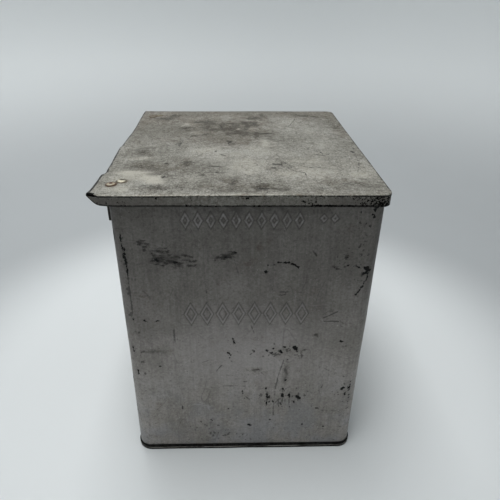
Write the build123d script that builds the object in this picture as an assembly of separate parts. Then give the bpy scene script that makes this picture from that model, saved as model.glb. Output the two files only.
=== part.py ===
from build123d import *
import os

# Insulated porch box for milk bottles: a double-walled sheet steel box under a lid that is hinged
# along one long side.
#
# Millimetres. X runs across the box from the hinge side to the free side of the lid, Y from the
# marked front to the back, and Z up. The pieces are built about the middle of the box's body and
# then moved, so that the origin lies on the ground under the middle of the lid.

# Body
body_width = 254.0
body_depth = 311.0
body_height = 330.0  # ground to the top of the mouth
corner_radius = 14.0  # upright corners, outside
shell_sheet = 0.8
wall_insulation = 12.0
floor_insulation = 12.0
liner_sheet = 0.6
liner_corner_radius = 9.0  # upright corners, outside of the liner
liner_rim_height = 8.0  # upturned edge of the liner's floor

# Double seam round the foot of the body
bottom_sheet = 0.8
seam_height = 6.5
seam_proud = 1.5  # how far it stands out from the wall
seam_base = 1.6  # metal folded under the wall's lower edge
seam_edge_radius = 0.6
bottom_recess = 3.2  # ground to the underside of the bottom panel

# Lock seam down the middle of the back wall
lock_seam_width = 9.0
lock_seam_proud = 0.8
lock_seam_end_gap = 2.0  # below the lid's skirt and above the foot seam

# Plain lozenges pressed out of the front wall, in three rows
press_height = 0.6
press_stroke = 2.2
press_spacing = 2.6  # between neighbours in a row
title_lozenge = (9.0, 17.0)  # width, height
title_across = -5.0  # middle of the row from the middle of the wall
title_drop = 23.0  # middle of the row below the mouth
title_count = 10
badge_lozenge = (7.5, 9.0)
badge_across = 74.5
badge_drop = 21.0
badge_count = 2
name_lozenge = (13.5, 27.0)
name_across = -0.5
name_drop = 128.0
name_count = 8

# Lid
lid_sheet = 0.8
lid_overhang = 3.0  # past the body's front, back and free side
hinge_overhang = 15.0  # past the body's hinge side
skirt_height = 11.0
lid_corner_radius = 10.0
lid_edge_radius = 1.5  # bend between the top and the skirt, outside
skirt_end_setback = 5.5  # lean of the skirt's end by the hinges
skirt_end_rise = 2.5  # its lower corner above the skirt's lower edge
skirt_end_taper = 22.0  # length over which that rise dies out
skirt_end_radius = 6.0
pan_sheet = 0.8
pan_depth = 14.0  # below the cover's underside
pan_clearance = 2.0  # between the pan and the liner
hem_width = 9.0  # folded edge of the pan's flange
seat_clearance = 0.1  # between the hem and the mouth

# Hinges: two alike, each centred at this distance from an end of the body
hinge_inset = 27.0
leaf_width = 23.0
leaf_sheet = 1.5
leaf_clearance = 0.2  # lid leaf over the mouth
leaf_corner_radius = 3.0
lid_leaf_length = 19.0  # from the pin
body_leaf_length = 30.0  # from the pin
backing_sheet = 1.6
backing_drop = 9.0  # top of the backing plate below the cover's underside
pin_radius = 1.4
pin_clearance = 0.05
pin_head_radius = 2.2
pin_head_length = 0.8
knuckle_length = 9.0  # the lid leaf's, in the middle
knuckle_gap = 0.2  # between knuckles, along the pin
leaf_gap = 0.3  # round a knuckle

# Rivets: two in each leaf, staggered either side of the leaf's middle
rivet_stagger = 4.2
rivet_shank_radius = 1.6
rivet_clearance = 0.05
lid_rivet_rows = (6.0, 14.0)  # from the pin
lid_rivet_head_radius = 5.3
lid_rivet_head_height = 1.5
body_rivet_rows = (13.5, 5.5)  # from the leaf's lower end
body_rivet_head_radius = 4.0
body_rivet_head_height = 1.3
rivet_brim = 0.35  # straight side of a head
rivet_foot_radius = 2.3  # formed end, flush in the leaf
rivet_foot_height = 0.7
rivet_tail_radius = 3.0  # formed end behind the wall
rivet_tail_height = 1.0
rivet_pocket_gap = 0.4  # insulation round a formed end

cut_margin = 1.0  # how far a cut runs past the faces that it opens

# Planes that several pieces share
cover_underside = body_height + leaf_sheet + leaf_clearance
cover_top = cover_underside + lid_sheet
skirt_bottom = cover_top - skirt_height
bottom_top = bottom_recess + bottom_sheet
liner_floor_bottom = bottom_top + floor_insulation
liner_floor_top = liner_floor_bottom + liner_sheet
shell_top = body_height - liner_sheet
hinge_wall = -body_width / 2
front_wall = -body_depth / 2
wall_thickness = shell_sheet + wall_insulation + liner_sheet
knuckle_radius = pin_radius + pin_clearance + leaf_sheet
leaf_face = hinge_wall - backing_sheet
pin_x = leaf_face - knuckle_radius - leaf_gap
pin_z = cover_underside - knuckle_radius - leaf_gap
body_leaf_end = pin_z - body_leaf_length
hinge_places = {"front": front_wall + hinge_inset, "rear": -front_wall - hinge_inset}


def block(x, y, z):
    """A box from its (low, high) limits along each axis."""
    size = [high - low for low, high in (x, y, z)]
    middle = [(high + low) / 2 for low, high in (x, y, z)]
    return Pos(*middle) * Box(*size)


def slab(inset, radius, z):
    """The body's outline, drawn in by inset, between two heights."""
    outline = RectangleRounded(body_width - 2 * inset, body_depth - 2 * inset, radius)
    return Pos(0, 0, z[0]) * extrude(outline, z[1] - z[0])


def tube(inset, radius, sheet, z):
    """An upright wall of sheet that follows the body's outline."""
    return slab(inset, radius, z) - slab(inset + sheet, radius - sheet, z)


def lozenge_ring(size, grow=0.0):
    """A lozenge drawn as a stroke, widened or narrowed on both edges by grow."""
    width, height = size

    def lozenge(offset):
        slope = (width**2 + height**2) ** 0.5
        half_width = width / 2 + offset * slope / height
        half_height = height / 2 + offset * slope / width
        corners = [(half_width, 0), (0, half_height), (-half_width, 0), (0, -half_height)]
        return make_face(Polyline(*corners, close=True))

    return lozenge(grow) - lozenge(-press_stroke - grow)


def lozenge_rows(grow=0.0):
    """All the pressed lozenges, on the plane of the front wall's outer face."""
    rings = []
    for size, middle, drop, count in (
        (title_lozenge, title_across, title_drop, title_count),
        (badge_lozenge, badge_across, badge_drop, badge_count),
        (name_lozenge, name_across, name_drop, name_count),
    ):
        pitch = size[0] + press_spacing
        for step in range(count):
            across = middle + (step - (count - 1) / 2) * pitch
            rings.append(Pos(across, body_height - drop) * lozenge_ring(size, grow))
    return Plane((0, front_wall, 0), x_dir=(1, 0, 0), z_dir=(0, -1, 0)) * Sketch(rings)


def turned(profile):
    """A solid of revolution about Z from (radius, height) points; its top is domed."""
    rim, crown = profile[-2:]
    dome_radius = (rim[0] ** 2 + (crown[1] - rim[1]) ** 2) / (2 * (crown[1] - rim[1]))
    side = Polyline(*profile[:-1])
    dome = RadiusArc(rim, crown, -dome_radius)
    face = make_face(side + dome + Line(crown, profile[0]))
    return revolve(Plane.XZ * face, Axis.Z)


def lid_rivet():
    """Domed head above z = 0; the formed end is flush with the underside of the leaf."""
    foot = -(lid_sheet + leaf_sheet)
    return turned(
        [
            (0, foot),
            (rivet_foot_radius, foot),
            (rivet_shank_radius, foot + rivet_foot_height),
            (rivet_shank_radius, 0),
            (lid_rivet_head_radius, 0),
            (lid_rivet_head_radius, rivet_brim),
            (0, lid_rivet_head_height),
        ]
    )


def body_rivet():
    """Domed head above z = 0; the formed end lies against the inside of the wall."""
    grip = -(leaf_sheet + backing_sheet + shell_sheet)
    return turned(
        [
            (0, grip - rivet_tail_height),
            (rivet_tail_radius, grip - rivet_tail_height),
            (rivet_tail_radius, grip),
            (rivet_shank_radius, grip),
            (rivet_shank_radius, 0),
            (body_rivet_head_radius, 0),
            (body_rivet_head_radius, rivet_brim),
            (0, body_rivet_head_height),
        ]
    )


def lid_rivet_places(middle):
    """Where the rivets of the lid leaf stand on the cover's top."""
    near, far = lid_rivet_rows
    return [
        Pos(pin_x + near, middle - rivet_stagger, cover_top),
        Pos(pin_x + far, middle + rivet_stagger, cover_top),
    ]


def body_rivet_places(middle):
    """Where the rivets of the body leaf stand, with their heads towards -X."""
    upper, lower = body_rivet_rows
    facing = Rot(0, -90, 0)
    x = leaf_face - leaf_sheet
    return [
        Pos(x, middle - rivet_stagger, body_leaf_end + upper) * facing,
        Pos(x, middle + rivet_stagger, body_leaf_end + lower) * facing,
    ]


def rivet_holes(places, depth):
    """Clearance holes along the rivets' shanks."""
    hole = Cylinder(rivet_shank_radius + rivet_clearance, depth + 2 * cut_margin)
    hole = Pos(0, 0, -depth / 2) * hole
    return [place * hole for place in places]


def all_places(places_of):
    """The rivet places of both hinges."""
    return [place for middle in hinge_places.values() for place in places_of(middle)]


def outer_shell():
    """Wall sheet wrapped round the box, joined by a lock seam and pressed on the front."""
    wall = tube(0, corner_radius, shell_sheet, (seam_base, shell_top))
    wall += block(
        (-lock_seam_width / 2, lock_seam_width / 2),
        (-front_wall - shell_sheet / 2, -front_wall + lock_seam_proud),
        (seam_height + lock_seam_end_gap, skirt_bottom - lock_seam_end_gap),
    )
    wall += extrude(lozenge_rows(), press_height)
    hollow = Pos(0, shell_sheet, 0) * extrude(lozenge_rows(-press_stroke / 4), press_height)
    wall -= hollow
    grip = leaf_sheet + backing_sheet + shell_sheet
    return wall - rivet_holes(all_places(body_rivet_places), grip)


def bottom_pan():
    """Bottom panel, recessed, with its edge folded round the wall's lower edge."""
    inside = shell_sheet + bottom_sheet
    seam = slab(-seam_proud, corner_radius + seam_proud, (0, seam_height))
    pan = fillet(seam.faces().filter_by(Axis.Z).edges(), seam_edge_radius)
    pan -= slab(0, corner_radius, (seam_base, seam_height))
    pan += slab(shell_sheet, corner_radius - shell_sheet, (seam_base / 2, bottom_top))
    return pan - slab(inside, corner_radius - inside, (0, bottom_recess))


def liner_walls():
    """Inner walls, with the top edge turned out over the insulation and the outer sheet."""
    inset = shell_sheet + wall_insulation
    walls = tube(inset, liner_corner_radius, liner_sheet, (liner_floor_top, body_height))
    flange = slab(0, corner_radius, (shell_top, body_height))
    mouth = slab(wall_thickness, liner_corner_radius - liner_sheet, (shell_top, body_height))
    return walls + (flange - mouth)


def liner_floor():
    """Inner floor under the walls, with an upturned edge inside them."""
    floor = slab(
        shell_sheet + wall_insulation, liner_corner_radius, (liner_floor_bottom, liner_floor_top)
    )
    rim_top = liner_floor_top + liner_rim_height
    rim_radius = liner_corner_radius - liner_sheet
    return floor + tube(wall_thickness, rim_radius, liner_sheet, (liner_floor_top, rim_top))


def wall_boards():
    """Four insulating boards that stand between the outer sheet and the liner."""
    inner = shell_sheet + wall_insulation
    x_outer, y_outer = body_width / 2 - shell_sheet, body_depth / 2 - shell_sheet
    x_inner, y_inner = body_width / 2 - inner, body_depth / 2 - inner
    x_end, y_end = body_width / 2 - corner_radius, body_depth / 2 - corner_radius
    z = (bottom_top, shell_top)
    left = block((-x_outer, -x_inner), (-y_end, y_end), z)
    tail_radius = rivet_tail_radius + rivet_pocket_gap
    tail_end = leaf_sheet + backing_sheet + shell_sheet + rivet_tail_height + rivet_pocket_gap
    pocket = Pos(0, 0, -tail_end / 2) * Cylinder(tail_radius, tail_end)
    left -= [place * pocket for place in all_places(body_rivet_places)]
    return {
        "front": block((-x_end, x_end), (-y_outer, -y_inner), z),
        "back": block((-x_end, x_end), (y_inner, y_outer), z),
        "left": left,
        "right": block((x_inner, x_outer), (-y_end, y_end), z),
    }


def bottom_board():
    """Insulating board between the bottom panel and the liner's floor."""
    inner = shell_sheet + wall_insulation
    x, y = body_width / 2 - inner, body_depth / 2 - inner
    return block((-x, x), (-y, y), (bottom_top, liner_floor_bottom))


def lid_outline(inset=0.0, reach=0.0):
    """Plan of the cover: square by the hinges, rounded on the free side."""
    low_x = hinge_wall - hinge_overhang - reach
    high_x = -hinge_wall + lid_overhang - inset
    depth = body_depth + 2 * (lid_overhang - inset)
    plan = Pos((low_x + high_x) / 2, 0) * Rectangle(high_x - low_x, depth)
    free_corners = plan.vertices().group_by(Axis.X)[-1]
    return fillet(free_corners, lid_corner_radius - inset)


def lid_cover():
    """Top sheet with a skirt turned down on three sides, cut away by the hinges."""
    cover = Pos(0, 0, skirt_bottom) * extrude(lid_outline(), skirt_height)
    top_edges = cover.faces().sort_by(Axis.Z)[-1].edges()
    cover = fillet(top_edges.sort_by(Axis.X)[1:], lid_edge_radius)
    hollow = extrude(lid_outline(lid_sheet, cut_margin), cover_underside - skirt_bottom)
    hollow = Pos(0, 0, skirt_bottom) * hollow
    roof_edges = hollow.faces().sort_by(Axis.Z)[-1].edges()
    cover -= fillet(roof_edges.sort_by(Axis.X)[1:], lid_edge_radius - lid_sheet)
    left = hinge_wall - hinge_overhang
    corners = [
        (left - cut_margin, skirt_bottom - cut_margin),
        (left - cut_margin, cover_underside),
        (left, cover_underside),
        (left + skirt_end_setback, skirt_bottom + skirt_end_rise),
        (left + skirt_end_taper, skirt_bottom),
        (left + skirt_end_taper, skirt_bottom - cut_margin),
    ]
    waste = Plane.XZ * make_face(Polyline(*corners, close=True))
    knee = waste.vertices().sort_by_distance((corners[3][0], 0, corners[3][1]))[0]
    waste = fillet(knee, skirt_end_radius)
    cover -= extrude(waste, body_depth, both=True)
    return cover - rivet_holes(all_places(lid_rivet_places), lid_sheet)


def lid_pan():
    """Inner pan that plugs the mouth; its flange is hemmed where it rests on the rim."""
    wall_inset = wall_thickness + pan_clearance
    outer_radius = liner_corner_radius - liner_sheet - pan_clearance
    hem_bottom = body_height + seat_clearance
    floor_z = cover_underside - pan_depth
    flange = slab(0, corner_radius, (cover_underside - pan_sheet, cover_underside))
    hem = tube(0, corner_radius, hem_width, (hem_bottom, cover_underside))
    plug = slab(wall_inset, outer_radius, (floor_z, cover_underside))
    inside = slab(wall_inset + pan_sheet, outer_radius - pan_sheet, (floor_z + pan_sheet, cover_underside))
    pan = flange + hem + plug - inside
    notch_end = pin_x + lid_leaf_length + leaf_gap
    half = leaf_width / 2 + leaf_gap
    for middle in hinge_places.values():
        notch = block(
            (hinge_wall - cut_margin, notch_end),
            (middle - half, middle + half),
            (hem_bottom - cut_margin, cover_underside),
        )
        pan -= notch
    return pan


def lid_board():
    """Insulating board that fills the lid's pan."""
    inset = wall_thickness + pan_clearance + pan_sheet
    radius = liner_corner_radius - liner_sheet - pan_clearance - pan_sheet
    return slab(inset, radius, (cover_underside - pan_depth + pan_sheet, cover_underside))


def knuckle(low, high, radius=knuckle_radius):
    """A cylinder about the pin's axis, from low to high along Y."""
    return Pos(pin_x, (low + high) / 2, pin_z) * Rot(90, 0, 0) * Cylinder(radius, high - low)


def knuckle_spans(middle):
    """Limits along the pin of the lid leaf's knuckle and of the body leaf's two."""
    inner = knuckle_length / 2
    outer = leaf_width / 2
    lid_span = (middle - inner, middle + inner)
    body_spans = [
        (middle - outer, middle - inner - knuckle_gap),
        (middle + inner + knuckle_gap, middle + outer),
    ]
    return lid_span, body_spans


def lid_leaf(middle):
    """Leaf under the cover, curled round the pin in one knuckle."""
    lid_span, body_spans = knuckle_spans(middle)
    end = pin_x + lid_leaf_length
    half = leaf_width / 2
    leaf = block(
        (pin_x, end), (middle - half, middle + half), (cover_underside - leaf_sheet, cover_underside)
    )
    leaf = fillet(leaf.edges().filter_by(Axis.Z).group_by(Axis.X)[-1], leaf_corner_radius)
    for low, high in body_spans:
        leaf -= block(
            (pin_x - cut_margin, pin_x + knuckle_radius + leaf_gap),
            (low - knuckle_gap, high + knuckle_gap),
            (cover_underside - leaf_sheet, cover_underside),
        )
    leaf += knuckle(*lid_span)
    leaf -= knuckle(middle - half, middle + half, pin_radius + pin_clearance)
    for place in lid_rivet_places(middle):
        leaf -= place * lid_rivet()
    return leaf


def body_leaf(middle):
    """Leaf down the hinge side of the body, curled round the pin in two knuckles."""
    lid_span, body_spans = knuckle_spans(middle)
    half = leaf_width / 2
    leaf = block(
        (leaf_face - leaf_sheet, leaf_face), (middle - half, middle + half), (body_leaf_end, pin_z)
    )
    leaf = fillet(leaf.edges().filter_by(Axis.X).group_by(Axis.Z)[0], leaf_corner_radius)
    leaf -= block(
        (leaf_face - leaf_sheet, leaf_face),
        (lid_span[0] - knuckle_gap, lid_span[1] + knuckle_gap),
        (pin_z - knuckle_radius - leaf_gap, pin_z),
    )
    for low, high in body_spans:
        leaf += knuckle(low, high)
    leaf -= knuckle(middle - half, middle + half, pin_radius + pin_clearance)
    return leaf - rivet_holes(body_rivet_places(middle), leaf_sheet)


def backing_plate(middle):
    """Packing between the body leaf and the wall."""
    half = leaf_width / 2
    plate = block(
        (leaf_face, hinge_wall),
        (middle - half, middle + half),
        (body_leaf_end, cover_underside - backing_drop),
    )
    plate = fillet(plate.edges().filter_by(Axis.X).group_by(Axis.Z)[0], leaf_corner_radius)
    return plate - rivet_holes(body_rivet_places(middle), leaf_sheet + backing_sheet)


def hinge_pin(middle):
    """Pin through the knuckles, headed at both ends."""
    half = leaf_width / 2
    pin = knuckle(middle - half, middle + half, pin_radius)
    for low, high in ((-half - pin_head_length, -half), (half, half + pin_head_length)):
        pin += knuckle(middle + low, middle + high, pin_head_radius)
    return pin


pieces = {
    "outer_shell": outer_shell(),
    "bottom_pan": bottom_pan(),
    "liner_walls": liner_walls(),
    "liner_floor": liner_floor(),
    "insulation_bottom": bottom_board(),
    "lid_cover": lid_cover(),
    "lid_pan": lid_pan(),
    "lid_insulation": lid_board(),
}
for side, board in wall_boards().items():
    pieces[f"insulation_{side}"] = board
for end, middle in hinge_places.items():
    pieces[f"{end}_hinge_lid_leaf"] = lid_leaf(middle)
    pieces[f"{end}_hinge_body_leaf"] = body_leaf(middle)
    pieces[f"{end}_hinge_backing_plate"] = backing_plate(middle)
    pieces[f"{end}_hinge_pin"] = hinge_pin(middle)
    pieces[f"{end}_hinge_lid_rivets"] = Compound([p * lid_rivet() for p in lid_rivet_places(middle)])
    pieces[f"{end}_hinge_body_rivets"] = Compound(
        [p * body_rivet() for p in body_rivet_places(middle)]
    )

under_lid_middle = Pos((hinge_overhang - lid_overhang) / 2, 0, 0)
os.makedirs("parts", exist_ok=True)
for name, piece in pieces.items():
    export_step(under_lid_middle * piece, f"parts/{name}.step")
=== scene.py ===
"""Finish and fine detail of an insulated milk delivery box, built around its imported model.

Meshes and their wear are written in millimetres; camera, lamps, floor and noise sizes are in metres. X runs
from the hinge side to the free side of the lid, Y from the marked front to the back, Z up.
"""

import math

import bpy
import numpy as np
from mathutils import Matrix, Vector


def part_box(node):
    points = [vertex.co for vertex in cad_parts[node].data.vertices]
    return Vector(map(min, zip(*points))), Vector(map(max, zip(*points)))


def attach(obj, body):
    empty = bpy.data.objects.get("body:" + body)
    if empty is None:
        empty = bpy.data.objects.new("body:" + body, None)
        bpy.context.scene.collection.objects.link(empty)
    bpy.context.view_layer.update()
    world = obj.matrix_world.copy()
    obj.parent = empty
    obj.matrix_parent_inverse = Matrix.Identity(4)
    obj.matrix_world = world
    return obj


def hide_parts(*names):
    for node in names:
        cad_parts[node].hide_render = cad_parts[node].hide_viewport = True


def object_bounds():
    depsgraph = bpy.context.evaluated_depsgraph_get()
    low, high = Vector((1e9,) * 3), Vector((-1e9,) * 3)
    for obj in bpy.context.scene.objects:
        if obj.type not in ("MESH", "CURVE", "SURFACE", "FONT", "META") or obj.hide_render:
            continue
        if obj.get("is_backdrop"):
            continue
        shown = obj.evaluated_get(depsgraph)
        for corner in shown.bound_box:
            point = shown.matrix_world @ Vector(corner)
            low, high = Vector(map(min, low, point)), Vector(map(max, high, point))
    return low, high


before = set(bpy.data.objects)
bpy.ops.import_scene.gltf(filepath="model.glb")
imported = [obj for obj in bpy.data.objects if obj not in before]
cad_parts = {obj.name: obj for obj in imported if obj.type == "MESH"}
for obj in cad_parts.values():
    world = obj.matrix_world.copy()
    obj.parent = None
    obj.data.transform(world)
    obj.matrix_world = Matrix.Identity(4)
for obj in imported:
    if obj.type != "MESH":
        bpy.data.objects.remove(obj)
cad_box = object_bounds()

MM = 0.001


def in_mm(box):
    """Lowest and highest corner of a box, in mm."""
    return [np.array(corner) / MM for corner in box]


# ---------------- sizes taken from the frame, mm

mouth_low, mouth_high = in_mm(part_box("liner_walls"))
cover_low, cover_high = in_mm(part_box("lid_cover"))
seam_low, seam_high = in_mm(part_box("bottom_pan"))
shell_low, shell_high = in_mm(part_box("outer_shell"))

body_middle = (mouth_low[0] + mouth_high[0]) / 2
half_width = (mouth_high[0] - mouth_low[0]) / 2
half_depth = (mouth_high[1] - mouth_low[1]) / 2
front_wall = mouth_low[1]
seam_proud = (seam_high[0] - seam_low[0]) / 2 - half_width
BODY_CORNER = 14
SHEET = 0.8

# ---------------- camera, as the photograph's

FOCAL_PIXELS = 475.5
PICTURE_PIXELS = 500
SENSOR_WIDTH = 36.0
CAMERA_PLACE = Vector((body_middle - 11.5, front_wall - 391.2, 494.3)) * MM
CAMERA_PITCH = math.radians(29.13)
CAMERA_YAW = math.radians(-1.99)
CAMERA_ROLL = math.radians(0.84)


def add_camera():
    data = bpy.data.cameras.new("camera")
    data.sensor_width = SENSOR_WIDTH
    data.lens = SENSOR_WIDTH * FOCAL_PIXELS / PICTURE_PIXELS
    data.clip_start = 0.01
    camera = bpy.data.objects.new("camera", data)
    turn = Matrix.Rotation(CAMERA_YAW, 4, "Z") @ Matrix.Rotation(math.pi / 2 - CAMERA_PITCH, 4, "X")
    camera.matrix_world = Matrix.Translation(CAMERA_PLACE) @ turn @ Matrix.Rotation(CAMERA_ROLL, 4, "Z")
    bpy.context.scene.collection.objects.link(camera)
    bpy.context.scene.camera = camera


# ---------------- fields on the surfaces

NOISE_OFFSET = 1000.0  # keeps every lattice point above zero
NOISE_PRIMES = np.array([73856093, 19349663, 83492791])
SEED_PRIME = 2654435761
MIXING_PRIME = 1274126177
NO_SIGN = 0x7FFFFFFF
NOISE_LEVELS = 65536


def soft_noise(points, cell, seed):
    """Smooth noise from -1 to 1 at (n, 3) points, with features about one cell wide."""
    scaled = points / cell + NOISE_OFFSET
    base = np.floor(scaled).astype(np.int64)
    part = scaled - base
    part = part * part * (3 - 2 * part)
    total = np.zeros(len(points))
    for corner in range(8):
        bits = np.array([corner & 1, corner >> 1 & 1, corner >> 2 & 1])
        key = np.bitwise_xor.reduce((base + bits) * NOISE_PRIMES, axis=1) ^ seed * SEED_PRIME
        key = (key ^ key >> 13) * MIXING_PRIME & NO_SIGN
        value = ((key ^ key >> 16) % NOISE_LEVELS) / ((NOISE_LEVELS - 1) / 2) - 1
        total += value * np.prod(np.where(bits == 1, part, 1 - part), axis=1)
    return total


def waves(points, layers):
    """Sum of layers (height, cell, seed) of soft noise at (n, 3) points."""
    return sum(height * soft_noise(points, cell, seed) for height, cell, seed in layers)


def at_level(flat, level=0.0):
    """(n, 3) points from (n, 2) ones, all with the third coordinate given."""
    return np.column_stack([flat, np.broadcast_to(level, len(flat))])


def smooth_step(low, high, value):
    share = np.clip((value - low) / (high - low), 0, 1)
    return share * share * (3 - 2 * share)


def bump(offset, reach):
    """One where the offset is zero, fading to nothing over about twice the reach."""
    return np.exp(-((offset / reach) ** 2))


def stroke_field(flat, strokes, ramp=1.6, spread=0.0):
    """Field that passes one half on the edge of each (x, y, x, y, half width) stroke."""
    field = np.zeros(len(flat))
    for x0, y0, x1, y1, half in strokes:
        start = np.array([x0, y0])
        along = np.array([x1, y1]) - start
        length = max(along @ along, 1e-9)
        share = np.clip((flat - start) @ along / length, 0, 1)
        distance = np.linalg.norm(flat - start - share[:, None] * along, axis=1)
        field = np.maximum(field, 0.5 + (half + spread - distance) / (2 * ramp))
    return np.clip(field, 0, 1)


def patch_field(flat, patches):
    """Sum of soft oval patches (x, y, half length, half height, amount)."""
    field = np.zeros(len(flat))
    for x, y, rx, ry, amount in patches:
        field += amount * np.exp(-(((flat[:, 0] - x) / rx) ** 2 + ((flat[:, 1] - y) / ry) ** 2))
    return field


def warped(flat, seed, cell=5.0, reach=1.2):
    """Flat points pushed about, so that what is drawn on them gets ragged edges."""
    points = at_level(flat)
    push = np.column_stack([soft_noise(points, cell, seed), soft_noise(points, cell, seed + 1)])
    return flat + reach * push


# ---------------- wear and painted shade on the front wall, mm
# Across from the middle of the wall, and up from the ground. Chips, marks and scratches are strokes
# (x, y, x, y, half width); smudges and bands of painted shade are soft ovals (x, y, half length,
# half height, amount).

SOFT_MARKS = [  # scuffed patches of old black paint
    (-102, 285, -97, 285, 1.5), (-97, 284, -92, 284, 1.3), (-98, 281, -95, 276, 1.1),
    (-91, 276, -76, 274.5, 1.2), (-86, 278, -78, 278, 0.6), (-89, 271, -85, 266, 1.4),
    (-90, 265.5, -80, 264, 1.6), (-84, 268, -78, 265, 1.3), (-79, 263.5, -64, 262, 1.9),
    (-74, 270.5, -62, 270, 0.8), (-62, 270, -54, 269, 0.7), (-72, 258.5, -64, 258, 1.0),
    (-61, 265, -50, 264, 0.8), (-57, 259.5, -50, 260, 0.9), (-88, 260, -80, 259, 0.8),
    (-31, 265.5, -25, 268, 1.4), (-27, 269, -20, 271, 0.9), (-24, 266.5, -14, 267.5, 1.2),
    (-26, 268.5, -16, 269, 1.5), (-20, 272, -12, 273, 1.3), (74, 172, 75, 171, 1.6),
    (33, 225, 38, 226.5, 0.6), (8, 125, 12, 127, 1.1), (94, 271, 95, 268, 1.5), (83, 256, 88, 254, 1.5),
]

BLACK_CHIPS = [
    (-87, 266, -85, 265, 0.7), (-70, 263, -67, 263, 0.9), (-22, 268, -19, 268.5, 0.6),
    (-13, 273, -12, 273, 0.8), (29.5, 262.3, 36, 261.8, 0.35), (36, 261.8, 37, 261.5, 0.7),
    (39.5, 262, 46, 259.2, 0.7), (46, 259.2, 49, 257.6, 1.2), (19, 259, 19, 259, 0.6),
    (18, 252.5, 19, 251, 1.0), (26, 260, 26, 260, 0.3), (97, 259, 97, 259, 0.6), (103, 258, 109, 257, 0.4),
    (113, 250, 117, 251, 1.0), (115, 256, 119, 252.5, 1.7), (119, 252, 118, 247, 0.8),
    (118, 246, 116, 240, 0.55), (116, 240, 112.5, 232, 0.55), (112.5, 232, 109, 224.5, 0.5),
    (109, 270, 109, 270, 0.6), (116, 271, 115, 270, 0.6), (117, 320, 115, 317, 1.0),
    (114, 313, 116, 310, 0.7), (116, 310, 117, 307, 0.4), (102, 316, 102, 314, 0.2),
    (109, 304, 108, 300, 0.2), (112, 301, 113, 300, 0.2), (-104.5, 195, -103, 193, 0.6),
    (-93, 194, -91, 194, 0.6), (38, 157, 41, 157, 0.4), (-15, 171, -13, 168, 0.35),
    (-13, 168, -12.5, 163, 0.5), (-19.5, 150.5, -19, 149.5, 0.6), (-17.5, 148, -16.5, 147.5, 0.9),
    (-18, 144, -18, 143, 0.4), (51, 156.5, 53, 154.5, 1.9), (54, 152, 54.5, 151, 0.6),
    (36, 152.5, 37.5, 150.5, 1.1), (22, 154, 23, 152, 0.7), (25, 150, 28, 149, 0.5),
    (29, 156.5, 29, 155, 0.6), (46, 159, 46, 158, 0.5), (8, 152.5, 8, 152, 0.6),
    (44.5, 140, 44.5, 140, 0.6), (99, 166, 101, 165, 0.9), (105, 158, 106, 158, 0.3),
    (44, 110, 44, 109, 0.5), (23.5, 88, 24, 83, 0.9), (26, 86, 26, 82, 0.5), (41, 88.5, 42, 85, 1.2),
    (49, 87, 49.5, 84, 0.9), (58, 84.5, 61, 82, 1.9), (30, 79, 31, 76, 0.4), (40, 76, 41, 73, 0.6),
    (22, 98, 22, 96, 0.4), (41, 97, 42, 95, 0.5), (24, 76, 24, 73, 0.4), (51, 68, 51, 66, 0.3),
    (67, 87, 67, 85, 0.4), (27, 78, 27, 75, 0.3), (55, 77, 55, 74, 0.3), (-4, 94, -4, 90, 0.3),
    (3, 39.5, 5, 38.5, 1.0), (28, 48, 29, 47.5, 0.7), (67, 40, 67, 38, 0.4), (92, 36, 93, 34, 0.6),
    (-41, 49, -39, 47.5, 0.4), (-20, 66, -19.5, 65, 0.4), (-73, 72, -72.5, 67, 0.3),
    (82, 65.5, 84, 64.5, 0.4), (-94, 132, -93, 132, 0.6), (108, 95, 110, 97, 1.3), (117, 106, 117, 98, 0.7),
    (116.5, 97, 116, 93, 1.1), (112, 116, 114, 115, 0.5), (112, 90, 113, 87, 0.5), (105, 90, 105, 87, 0.3),
    (118.5, 86, 119, 72, 0.5), (-118, 294, -117.5, 280, 0.4), (-117.5, 280, -116.2, 272, 0.8),
    (-116.2, 272, -115.6, 262, 1.2), (-115.6, 262, -115.4, 248, 0.7), (-116, 200, -116, 194, 0.3),
    (-120, 158, -119, 150, 0.5), (-118, 126, -117.5, 120, 0.4),
]

SPECK_CLUSTERS = [  # middle across and up, spread across and up, count
    (-48, 38, 22, 9, 18), (-112, 165, 3, 20, 14), (-20, 20, 18, 5, 12), (108, 286, 4, 14, 36),
    (44, 151, 13, 4, 30), (40, 82, 15, 8, 44), (-116, 268, 1.6, 14, 24), (113, 101, 3.5, 12, 26),
    (-30, 27, 26, 6, 16), (-119, 152, 1.5, 8, 12), (96, 262, 9, 6, 14), (58, 147, 2, 4, 8),
    (112, 240, 4, 10, 10), (116, 60, 3, 20, 14), (-117, 205, 1.2, 18, 12),
]

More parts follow.
